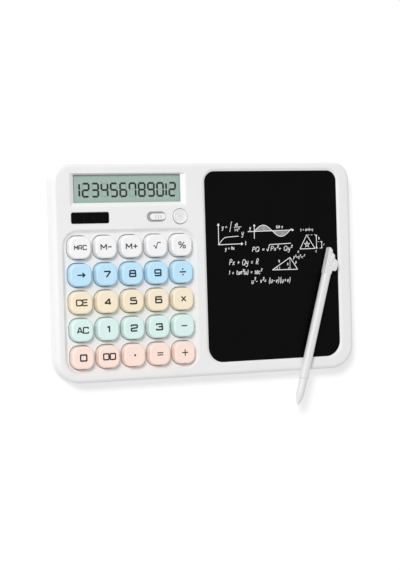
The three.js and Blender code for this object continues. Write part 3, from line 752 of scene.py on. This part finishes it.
# what each key says: (signs, sign width, sign height, gap between signs, stroke width)
LEGENDS = {
    "memory_recall": ("MRC", 1.95, 2.5, 0.72, 0.56), "memory_minus": ("M-", 3.4, 3.2, 0.95, 0.68),
    "memory_plus": ("M+", 3.4, 3.2, 0.95, 0.68), "square_root": ("v", 4.8, 3.6, 0, 0.55),
    "percent": ("%", 4.1, 3.6, 0, 0.6), "backspace": (">", 4.7, 3.6, 0, 0.8),
    "divide": ("/", 4.0, 3.9, 0, 0.86), "multiply": ("x", 3.3, 3.3, 0, 0.76),
    "minus": ("-", 3.6, 3.0, 0, 0.7), "plus": ("+", 3.8, 3.8, 0, 0.65),
    "equals": ("=", 3.7, 3.2, 0, 0.65), "decimal_point": (".", 1.1, 1.0, 0, 1.1),
    "clear_entry": ("CE", 3.0, 3.3, 0.75, 0.76), "all_clear": ("AC", 3.0, 3.3, 0.7, 0.76),
    "00": ("00", 3.25, 3.4, 0.85, 0.82),
}
NARROW_SIGNS = {"-": 0.66, "+": 0.78}
DIGIT_LEGEND = (3.75, 3.45, 0, 0.92)


def legend(name, row, surface):
    """The printed sign of a key, laid on the surface of its cap."""
    signs, width, height, gap, stroke = LEGENDS.get(name, (name, *DIGIT_LEGEND))
    widths = [width * (NARROW_SIGNS.get(sign, 1) if len(signs) > 1 else 1) for sign in signs]
    across = sum(widths) + gap * (len(signs) - 1)
    paths, start = [], -across / 2
    for sign, wide in zip(signs, widths):
        tall = height * (wide / width if sign in NARROW_SIGNS and len(signs) > 1 else 1)
        for points, closed in GLYPHS[sign]:
            paths.append(([(start + px * wide, (py - 0.5) * tall) for px, py in points], closed))
        start += wide + gap
    bm = drawn(paths, stroke, corner=0.8, thickness=0.04)
    x, y = middle(mm_box(f"key_{name}"))
    bmesh.ops.translate(bm, vec=(x, y, 0), verts=bm.verts[:])
    to_metres(bm)
    for vert in bm.verts:
        above = Vector((vert.co.x, vert.co.y, 1))
        vert.co.z += surface.ray_cast(above, Vector((0, 0, -1)))[0].z + 0.012 * MM
    return finished(f"legend_{name}", bm, f"key_{name}", CAP_INKS[row])


for row_index, row_names in enumerate(KEY_ROWS):
    for key_name in row_names:
        legend(key_name, row_index, keycap(key_name, row_index))


# ------------------------------------------------------------------ display
SEGMENTS_OF = {
    "0": "abcdef", "1": "bc", "2": "abged", "3": "abgcd", "4": "fgbc", "5": "afgcd", "6": "afgedc",
    "7": "fabc", "8": "abcdefg", "9": "abfgcd"}
DIGIT_WIDTH, DIGIT_HEIGHT, DIGIT_PITCH, ONE_PITCH, BAR = 5.0, 8.8, 5.87, 1.95, 1.15


def segment(bm, x0, y0, x1, y1, z):
    """One bar of a digit: a long hexagon with pointed ends, drawn out to a thin solid."""
    radius = BAR / 2 / math.cos(math.radians(30))
    corners = bmesh.ops.create_circle(bm, cap_ends=True, segments=6, radius=radius)["verts"]
    stretch = (abs(y1 - y0) + abs(x1 - x0)) / 2 - radius
    for vert in corners:
        vert.co.y += math.copysign(stretch, vert.co.y)
    if abs(x1 - x0) > abs(y1 - y0):
        bmesh.ops.rotate(bm, cent=(0, 0, 0), matrix=Matrix.Rotation(math.pi / 2, 3, "Z"), verts=corners)
    bmesh.ops.translate(bm, vec=((x0 + x1) / 2, (y0 + y1) / 2, z), verts=corners)
    made = bmesh.ops.extrude_face_region(bm, geom=list(corners[0].link_faces))
    raised = [item for item in made["geom"] if isinstance(item, bmesh.types.BMVert)]
    bmesh.ops.translate(bm, vec=(0, 0, 0.05), verts=raised)


def digit(bm, x, y, z, lit):
    """The lit segments of one digit, from its lower left corner."""
    half, inset, gap = DIGIT_HEIGHT / 2, BAR / 2, 0.12
    left, right, lowest, highest = x + inset, x + DIGIT_WIDTH - inset, y + inset, y + DIGIT_HEIGHT - inset
    centre = y + half
    bars = {
        "a": (left + gap, highest, right - gap, highest), "g": (left + gap, centre, right - gap, centre),
        "d": (left + gap, lowest, right - gap, lowest), "f": (left, centre + gap, left, highest - gap),
        "b": (right, centre + gap, right, highest - gap), "e": (left, lowest + gap, left, centre - gap),
        "c": (right, lowest + gap, right, centre - gap)}
    for name in lit:
        segment(bm, *bars[name], z)


def display():
    glass_top = GLASS_BOX[HIGH][2]
    lit, ghost = bmesh.new(), bmesh.new()
    x, y = DISPLAY_PLAN.x0 + 3.75, DISPLAY_PLAN.y0 + 3.1
    for sign in "123456789012":
        if sign == "1":
            x += ONE_PITCH - DIGIT_PITCH
        digit(lit, x, y, glass_top + 0.02, SEGMENTS_OF[sign])
        if sign != "1":
            digit(ghost, x, y, glass_top + 0.01, sorted(set("abcdefg") - set(SEGMENTS_OF[sign])))
        x += DIGIT_PITCH
    for name, bm, finish in (("display_digits", lit, SEGMENT), ("display_ghosts", ghost, GHOST)):
        to_metres(bm)
        finished(name, bm, HOUSING, finish, smooth=False)


display()


# ------------------------------------------------------------------ controls
def lock_slider():
    low, high = SLIDER_BOX
    x, y = middle(SLIDER_BOX)
    top = high[2] - 0.15
    bm = bmesh.new()
    knob = Plan.centred(x, y, high[0] - low[0], high[1] - low[1], 1.89)
    profile = [(-0.15, FACE - 0.9), (0, FACE - 0.75)] + arc(-0.5, top - 0.5, 0.5, 0, 90, 6)
    solid(bm, knob, profile, 10)
    stem = Plan.centred(x, y, 4.6, 2.0, 0.4)
    rounded_bar(bm, stem, low[2], FACE - 0.6, 0.1, 4, 1)
    piece = finished("lock_knob", bm, "lock_slider", KNOB)
    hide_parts("lock_slider")
    # three ribs on the knob, coloured darker than the knob: painted shade
    ribs = bmesh.new()
    for place in (-1.6, 0.1, 1.7):
        rounded_bar(ribs, Plan.centred(x + place, y, 0.5, 2.5, 0.24), top - 0.2, high[2], 0.12, 5, 3)
    finished("lock_ribs", ribs, "lock_slider", RIB_PAINTED_SHADE)


def erase_button():
    low, high = ERASE_BOX
    x, y = ERASE_AT
    top = high[2]
    profile = [
        (5.6, low[2]), (5.6, low[2] + 0.9), (4.4, low[2] + 0.9), (4.4, top - 0.55), (4.33, top - 0.25),
        (4.15, top - 0.07), (3.95, top), (3.7, top - 0.04), (3.45, top - 0.2), (3.2, top - 0.3),
        (2.8, top - 0.34), (1.2, top - 0.36)]
    bm = bmesh.new()
    solid(bm, Plan.centred(x, y, 0.2, 0.2, 0.09), [(r - 0.1, z) for r, z in profile], 14)
    piece = finished("erase_key", bm, "erase_button", SHELL, sharp=40)
    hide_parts("erase_button")
    waste_bin = [
        ([(-1.05, 0.85), (-0.85, -1.5), (0.85, -1.5), (1.05, 0.85)], LINE),
        ([(-1.5, 0.95), (1.5, 0.95)], LINE),
        ([(-0.45, 1.0), (-0.45, 1.5), (0.45, 1.5), (0.45, 1.0)], LINE),
        ([(-0.38, 0.4), (-0.32, -0.95)], LINE), ([(0.38, 0.4), (0.32, -0.95)], LINE)]
    symbol = drawn(waste_bin, 0.26, corner=0.25, thickness=0.04)
    bmesh.ops.scale(symbol, vec=(1.3, 1.3, 1), verts=symbol.verts[:])
    bmesh.ops.translate(symbol, vec=(x, y, top - 0.335), verts=symbol.verts[:])
    to_metres(symbol)
    finished("erase_symbol", symbol, "erase_button", GREY_INK)


lock_slider()
erase_button()


# ------------------------------------------------------------------ sketches on the writing screen
FILM_TOP = PANEL_BOX[HIGH][2]
# A hand-written alphabet: each sign is (how far it moves along, its strokes), small letters one unit high
HAND = {
    "a": (1.0, [[(0.75, 0.85), (0.4, 1.1), (-0.05, 0.6), (0.1, -0.1), (0.55, 0), (0.75, 0.6)],
                [(0.75, 1.0), (0.7, 0.2), (0.95, 0)]]),
    "b": (1.0, [[(0.05, 1.6), (0.03, 0)],
                [(0.05, 0.5), (0.4, 1.15), (0.85, 0.6), (0.5, -0.15), (0.03, 0.1)]]),
    "c": (0.9, [[(0.75, 0.8), (0.45, 1.15), (-0.05, 0.7), (0.05, -0.05), (0.5, -0.1), (0.8, 0.2)]]),
    "d": (1.0, [[(0.7, 0.8), (0.25, 1.1), (-0.1, 0.4), (0.25, -0.15), (0.7, 0.25)],
                [(0.78, 1.6), (0.75, 0)]]),
    "e": (0.9, [[(0.05, 0.5), (0.85, 0.5), (0.6, 1.2), (-0.05, 0.95), (0.0, -0.1), (0.5, -0.1), (0.8, 0.2)]]),
    "h": (0.95, [[(0.05, 1.6), (0.03, 0)], [(0.05, 0.5), (0.45, 1.2), (0.72, 0.8), (0.7, 0)]]),
    "i": (0.45, [[(0.12, 0.95), (0.1, 0)], [(0.14, 1.32), (0.14, 1.42)]]),
    "n": (0.95, [[(0.05, 0.95), (0.03, 0)], [(0.05, 0.5), (0.45, 1.25), (0.7, 0.8), (0.7, 0)]]),
    "p": (1.0, [[(0.08, 0.95), (0.0, -0.7)],
                [(0.08, 0.7), (0.5, 1.25), (0.88, 0.6), (0.45, -0.15), (0.05, 0.2)]]),
    "q": (1.0, [[(0.75, 0.9), (0.25, 1.2), (-0.1, 0.5), (0.25, -0.15), (0.72, 0.35)],
                [(0.78, 0.95), (0.72, -0.7), (0.98, -0.45)]]),
    "r": (0.75, [[(0.08, 0.95), (0.05, 0)], [(0.06, 0.5), (0.3, 1.1), (0.62, 0.95)]]),
    "s": (0.85, [[(0.65, 0.85), (0.3, 1.2), (-0.05, 0.75), (0.75, 0.4), (0.5, -0.15), (0, 0.08)]]),
    "t": (0.75, [[(0.3, 1.45), (0.28, 0.15), (0.45, -0.1), (0.65, 0.1)], [(0, 1.0), (0.62, 1.02)]]),
    "u": (0.95, [[(0.05, 0.95), (0.0, -0.1), (0.55, -0.15), (0.7, 0.35), (0.72, 0.95)],
                [(0.72, 0.6), (0.8, 0)]]),
    "v": (0.85, [[(0.02, 0.95), (0.33, 0)], [(0.33, 0), (0.7, 0.98)]]),
    "x": (0.9, [[(0.02, 0.95), (0.7, 0)], [(0.7, 0.98), (0.0, -0.02)]]),
    "y": (0.9, [[(0.03, 0.95), (0.0, 0.2), (0.5, 0.1), (0.7, 0.6)],
                [(0.76, 0.95), (0.6, -0.5), (0.3, -0.8), (0, -0.5)]]),
    "P": (1.15, [[(0.12, 1.5), (0.08, 0)],
                [(0.1, 1.4), (0.7, 1.75), (1.05, 1.1), (0.6, 0.62), (0.12, 0.72)]]),
    "Q": (1.35, [[(0.7, 1.5), (0.0, 1.6), (-0.1, 0.0), (0.6, -0.15), (1.2, 0.2), (1.1, 1.4), (0.6, 1.55)],
                 [(0.65, 0.42), (1.15, -0.15)]]),
    "R": (1.15, [[(0.12, 1.5), (0.08, 0)], [(0.1, 1.4), (0.7, 1.75), (0.98, 1.1), (0.55, 0.7), (0.12, 0.72)],
                 [(0.45, 0.72), (0.95, 0)]]),
    "1": (0.6, [[(0.0, 1.1), (0.28, 1.45)], [(0.28, 1.45), (0.25, 0)]]),
    "2": (1.0, [[(0.02, 1.15), (0.3, 1.75), (0.95, 1.4), (0.6, 0.7), (0, 0.02)], [(0, 0.02), (0.85, 0.02)]]),
    "+": (1.15, [[(0.05, 0.6), (0.85, 0.62)], [(0.45, 1.0), (0.43, 0.2)]]),
    "-": (1.05, [[(0.05, 0.6), (0.75, 0.6)]]),
    "=": (1.15, [[(0.05, 0.8), (0.82, 0.84)], [(0.05, 0.42), (0.82, 0.44)]]),
    "(": (0.55, [[(0.4, 1.65), (-0.1, 0.7), (0.38, -0.3)]]),
    ")": (0.6, [[(0.02, 1.65), (0.5, 0.7), (0.02, -0.3)]]),
    "|": (1.0, [[(1.0, 3.5), (0.65, 3.9), (0.55, 3.0), (0.45, 0.2), (0.35, -0.9), (0.0, -0.5)]]),
    " ": (0.6, []),
}
SLANT = 0.16


def written(text, x, y, size, width=0.76):
    """The strokes of a hand-written line. A sign after ^ is small and raised, and one after _ is lowered."""
    paths, along = [], 0
    scale, raise_by = 1.0, 0.0
    for index, sign in enumerate(text):
        if sign in "^_":
            scale, raise_by = 0.55, 0.95 if sign == "^" else -0.35
            continue
        advance, strokes = HAND[sign]
        sway = 0.06 * math.sin(2.1 * index + x)
        for points in strokes:
            placed = []
            for px, py in points:
                high = py * scale + raise_by + sway
                placed.append((x + ((along + px * scale) * width + SLANT * high) * size, y + high * size))
            paths.append((placed, LINE))
        along += (advance + 0.22) * scale
        scale, raise_by = 1.0, 0.0
    return paths


def line(*points):
    return [(list(points), LINE)]


def arrow(x0, y0, x1, y1, head=1.2):
    """A straight stroke with an open arrow head."""
    away = math.atan2(y1 - y0, x1 - x0)
    barbs = [(x1 - head * math.cos(away + turn), y1 - head * math.sin(away + turn)) for turn in (0.5, -0.5)]
    return line((x0, y0), (x1, y1)) + line(barbs[0], (x1, y1)) + line(barbs[1], (x1, y1))


def dashes(x0, y0, x1, y1, count):
    marks = []
    for index in range(count):
        near, far = [(2 * index + end) / (2 * count - 1) for end in (0, 1)]
        start, end = [(x0 + (x1 - x0) * share, y0 + (y1 - y0) * share) for share in (near, far)]
        marks += line(start, end)
    return marks


def wave(x):
    return 3.6 * math.sin((x - 31.2) / 12.1 * math.pi) + 22.3


def sketches():
    """A rising curve, a wave and two triangles, as (bold strokes, fine strokes, smooth strokes)."""
    bold = arrow(7.2, 14.4, 7.3, 27.4) + arrow(6.8, 14.6, 23.4, 14.9)
    bold += line((6.6, 26.2), (8.0, 26.4)) + line((22.2, 14.0), (22.4, 15.6))
    bold += arrow(26.8, 22.1, 58.0, 22.5) + arrow(31.1, 17.8, 31.3, 26.4)
    steps = [31.3 + 25.3 * step / 22 for step in range(23)]
    smooth = line(*[(x, wave(x)) for x in steps])
    smooth += line((7.2, 14.6), (10.3, 18.9), (14.2, 19.2), (20.6, 19.5))
    fine = []
    for step in range(15):
        x = 31.9 + 0.78 * step
        fine += line((x, 22.5), (x + 0.2, wave(x + 0.2) - 0.25))
        fine += line((x + 12.1, 22.1), (x + 12.2, wave(x + 12.2) + 0.25))
    bold += [([(66.9, 19.3), (62.1, 10.7), (72.5, 10.8)], LOOP)]
    star = [(67.0 + 2.1 * math.cos(math.radians(a)), 13.4 + 2.1 * math.sin(math.radians(a)))
            for a in (90, 234, 18, 162, 306)]
    fine += [(star, LOOP)]
    for ends in ((67.6, 19.3, 73.2, 19.2, 3), (74.4, 15.0, 76.8, 14.9, 2), (73.0, 10.8, 77.0, 10.9, 2)):
        fine += dashes(*ends)
    bold += arrow(73.6, 15.1, 73.6, 19.2, 0.9) + arrow(73.6, 14.9, 73.6, 10.9, 0.9)
    bold += arrow(77.2, 13.1, 77.2, 15.2, 0.7) + arrow(77.2, 12.9, 77.2, 10.8, 0.7)
    root = [(39.2, 11.3), (40.0, 10.0), (41.2, 13.9), (55.9, 14.4)]
    for start, end in zip(root, root[1:]):
        bold += line(start, end)
    bold += [([(42.8, -1.6), (55.0, 5.7), (60.0, -1.7)], LOOP)]
    fine += line((54.9, 5.3), (54.9, -1.5)) + line((53.8, -1.5), (53.8, -0.5))
    fine += line((53.8, -0.5), (54.8, -0.5))
    smooth += [([(46.4, -1.4), (46.3, -0.4), (45.2, 0.1)], LINE)]
    return bold, fine, smooth


def writing():
    """Chalk-like sketches of school mathematics on the black film."""
    large = written("Px + Qy = R", 13.8, 2.2, 2.1) + written("1 + tan^2(u) = sec^2", 13.4, -3.6, 1.66)
    large += written("u^2- v^2= (u-v)(u+v)", 28.4, -9.4, 1.95)
    large += written("PQ =", 29.4, 10.0, 1.8, 0.98) + written("Px^2+ Qy^2", 41.9, 10.2, 1.75, 0.98)
    small = written("y =", 9.6, 24.2, 1.5) + written("dt", 18.4, 25.6, 1.2)
    small += written("1+t^2", 18.0, 22.6, 1.05)
    small += line((17.6, 24.9), (22.6, 25.2)) + written("y", 22.6, 20.2, 2.0) + written("t", 24.6, 14.2, 1.6)
    small += written("|", 14.6, 23.2, 1.35)
    small += written("y = hx", 11.4, 11.4, 1.3)
    small += written("sin x", 45.9, 23.8, 1.35) + written("y", 28.0, 23.6, 1.25)
    tiny = written("s = a+b+c", 62.6, 21.8, 1.15) + written("h", 75.0, 16.3, 1.1)
    tiny += written("r", 78.4, 12.4, 1.1)
    tiny += written("a", 60.4, 8.6, 1.1) + written("c", 72.9, 8.6, 1.1)
    tiny += written("p^2=q^2+r^2", 57.4, 5.0, 1.25) + written("q", 47.0, 3.2, 1.1)
    tiny += written("p", 58.6, 2.0, 1.1)
    tiny += written("h", 53.0, 0.9, 1.0) + written("t", 47.3, -1.1, 1.0)
    bold, fine, smooth = sketches()
    chalk = drawn(bold, 0.4, corner=0.25, thickness=0.06)
    for paths, width, corner in (
            (fine, 0.25, 0.25), (smooth, 0.36, None), (large, 0.33, None), (small, 0.3, None),
            (tiny, 0.25, None)):
        merge(chalk, drawn(paths, width, corner, 0.05))
    bmesh.ops.translate(chalk, vec=(0, 0, FILM_TOP + 0.03), verts=chalk.verts[:])
    to_metres(chalk)
    finished("screen_writing", chalk, HOUSING, CHALK)


writing()


# ------------------------------------------------------------------ stylus
STYLUS_LAY = math.radians(74.4)
STYLUS_WIDTH, STYLUS_THICK = 5.4, 4.9
TIP_LENGTH, GRIP_FOOT, GRIP_TOP = 17.0, 86.2, 99.5
BARREL_BOX = mm_box("stylus_barrel")
STYLUS_HEIGHT = (BARREL_BOX[LOW][2] + BARREL_BOX[HIGH][2]) / 2
STYLUS_END = (55.5, -85.1)


def lay_stylus(bm):
    """Turns a part drawn along +X from the tip, in metres, to where the stylus lies."""
    place = Matrix.Translation((STYLUS_END[0] * MM, STYLUS_END[1] * MM, STYLUS_HEIGHT * MM))
    bmesh.ops.transform(bm, matrix=place @ Matrix.Rotation(STYLUS_LAY, 4, "Z"), verts=bm.verts[:])


def lie_down(bm):
    """Turns a part drawn standing up, so that it lies along +X."""
    turn = Matrix(((0, 0, 1), (1, 0, 0), (0, 1, 0))).to_4x4()
    bmesh.ops.transform(bm, matrix=turn, verts=bm.verts[:])


def grip_blade():
    """The thumb grip at the top of the stylus: three rounded steps on one side."""
    outline = [
        (GRIP_FOOT - 3, 2.5), (GRIP_TOP - 1.2, 2.65), (GRIP_TOP - 0.2, 2.6), (GRIP_TOP, 2.1), (98.3, 0.35),
        (97.5, 0), (96.6, -0.1), (96.1, -1.1), (95.6, -1.8), (94.8, -2.3), (93.4, -2.45), (93.1, -3.5),
        (92.2, -4.7), (90.9, -5.45), (88.6, -5.55), (86.7, -5.3), (86.0, -4.7), (GRIP_FOOT - 0.6, -2.5),
        (GRIP_FOOT - 3, -2.4)]
    bm = bmesh.new()
    half = STYLUS_THICK / 2
    verts = [bm.verts.new((x * MM, y * MM, -half * MM)) for x, y in outline]
    face = bm.faces.new(verts)
    made = bmesh.ops.extrude_face_region(bm, geom=[face])
    raised = [item for item in made["geom"] if isinstance(item, bmesh.types.BMVert)]
    bmesh.ops.translate(bm, vec=(0, 0, STYLUS_THICK * MM), verts=raised)
    bmesh.ops.recalc_face_normals(bm, faces=bm.faces[:])
    rims = [edge for edge in bm.edges if abs(edge.verts[0].co.z - edge.verts[1].co.z) < 1e-6]
    bmesh.ops.bevel(
        bm, geom=rims, offset=0.45 * MM, offset_type="OFFSET", segments=3, profile=0.5, affect="EDGES",
        material=-1)
    return bm


def grip_pockets():
    """The scooped hollows beside the steps, on both faces."""
    bm = bmesh.new()
    for x, y in ((94.3, 0.1), (90.9, -2.3)):
        for side in (-1, 1):
            place = Matrix.Translation((x * MM, y * MM, side * (STYLUS_THICK / 2 + 0.15) * MM))
            scoop = place @ Matrix.Diagonal((2.5 * MM, 0.85 * MM, 0.95 * MM, 1))
            bmesh.ops.create_uvsphere(bm, u_segments=16, v_segments=10, radius=1, matrix=scoop)
    return bm


def stylus_barrel():
    section = Plan.centred(0, 0, STYLUS_WIDTH, STYLUS_THICK, 2.1)
    bm = bmesh.new()
    solid(bm, section, [
        (-0.2, TIP_LENGTH), (-0.05, TIP_LENGTH + 0.08), (0, TIP_LENGTH + 0.3), (0, GRIP_FOOT + 1.5),
        (-0.6, GRIP_FOOT + 2.5)], 5)
    lie_down(bm)
    piece = finished("pen_barrel", bm, "stylus", STYLUS, sharp=36)
    apply_cut(piece, grip_blade(), operation="UNION")
    apply_cut(piece, grip_pockets())
    shaped = bmesh.new()
    shaped.from_mesh(piece.data)
    lay_stylus(shaped)
    shaped.to_mesh(piece.data)
    shaped.free()
    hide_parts("stylus_barrel")


def stylus_tip():
    """A bullet-shaped writing tip with a narrow collar where it meets the barrel."""
    radius = STYLUS_THICK / 2
    nose = 10.0
    reach = [0.1 + (nose - 0.1) * (step / 14) ** 1.6 for step in range(15)]
    profile = [(0.3 + (radius - 0.3) * (1 - (1 - along / nose) ** 2.3), along) for along in reach]
    profile += [(radius, 13), (radius - 0.03, 16.4), (radius - 0.1, 16.8), (radius - 0.22, TIP_LENGTH - 0.04)]
    bm = bmesh.new()
    solid(bm, Plan.centred(0, 0, 0.2, 0.2, 0.09), [(r - 0.1, z) for r, z in profile], 9)
    lie_down(bm)
    bmesh.ops.scale(bm, vec=(1, 1.05, 1), verts=bm.verts[:])
    lay_stylus(bm)
    piece = finished("pen_tip", bm, "stylus", STYLUS, sharp=36)
    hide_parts("stylus_tip")


stylus_barrel()
stylus_tip()


# ------------------------------------------------------------------ plain finishes on the frame's own nodes
NODE_FINISHES = {
    "writing_panel": FILM, "panel_backing": SILICONE, "display_window": WINDOW, "lcd_glass": CRYSTAL,
    "lcd_connector": RUBBER, "solar_window": SOLAR, "solar_cell": SOLAR, "keypad_membrane": SILICONE,
    "main_board": BOARD, "tablet_board": BOARD, "processor_blob": RESIN, "lock_switch": RESIN,
    "erase_switch": RESIN, "coin_cell": STEEL, "button_cell": STEEL, "cell_contact": STEEL,
}
for node, material in NODE_FINISHES.items():
    mesh = frame["nodes"][node].data
    mesh.materials.clear()
    mesh.materials.append(material)


# ------------------------------------------------------------------ floor, light and camera
FLOOR_GLOW, ROOM_LIGHT = 0.45, 0.55
KEY_LIGHT_PLACE, KEY_LIGHT_SIZE, KEY_LIGHT_POWER = (-1.4, 1.0, 2.2), 0.9, 47.5
EYE_PLACE = (-0.4054, 0.010, 0.9085 + FACE * MM)
EYE_RIGHT, EYE_BACK = (0.9149, -0.0288, 0.4025), (-0.4021, 0.0193, 0.9154)
EYE_LENS = 104.66


def studio():
    floor_level = mm_box("foot_1")[LOW][2] * MM
    bm = bmesh.new()
    bmesh.ops.create_grid(
        bm, x_segments=1, y_segments=1, size=6, matrix=Matrix.Translation((0, 0, floor_level)))
    mesh = bpy.data.meshes.new("floor")
    bm.to_mesh(mesh)
    bm.free()
    floor = bpy.data.objects.new("floor", mesh)
    bpy.context.scene.collection.objects.link(floor)
    material, tree, shader, place = nodes_of("pale_floor")
    tree.links.new(
        tinted(tree, noise(tree, place, 12, 2), (0.59, 0.59, 0.59), (0.61, 0.61, 0.61)),
        shader.inputs["Base Color"])
    shader.inputs["Roughness"].default_value = 0.9
    shader.inputs["Specular IOR Level"].default_value = 0.05
    shader.inputs["Emission Color"].default_value = (1, 1, 1, 1)
    shader.inputs["Emission Strength"].default_value = FLOOR_GLOW
    mesh.materials.append(material)
    world = bpy.data.worlds.new("soft_room")
    bpy.context.scene.world = world
    world.use_nodes = True
    world.node_tree.nodes["Background"].inputs["Color"].default_value = (1, 1, 1, 1)
    world.node_tree.nodes["Background"].inputs["Strength"].default_value = ROOM_LIGHT
    light = bpy.data.lights.new("key_light", "AREA")
    light.shape = "DISK"
    light.size = KEY_LIGHT_SIZE
    light.energy = KEY_LIGHT_POWER
    lamp = bpy.data.objects.new("key_light", light)
    lamp.location = KEY_LIGHT_PLACE
    lamp.rotation_euler = (-Vector(KEY_LIGHT_PLACE)).to_track_quat("-Z", "Y").to_euler()
    bpy.context.scene.collection.objects.link(lamp)


def look():
    bpy.context.scene.view_settings.view_transform = "Standard"


def camera():
    data = bpy.data.cameras.new("camera")
    data.sensor_fit = "AUTO"
    data.sensor_width = 36
    data.lens = EYE_LENS
    data.clip_end = 20
    eye = bpy.data.objects.new("camera", data)
    right = Vector(EYE_RIGHT).normalized()
    back = Vector(EYE_BACK).normalized()
    up = back.cross(right).normalized()
    turn = Matrix((right, up, back)).transposed().to_4x4()
    eye.matrix_world = Matrix.Translation(EYE_PLACE) @ turn
    bpy.context.scene.collection.objects.link(eye)
    bpy.context.scene.camera = eye


look()
studio()
camera()
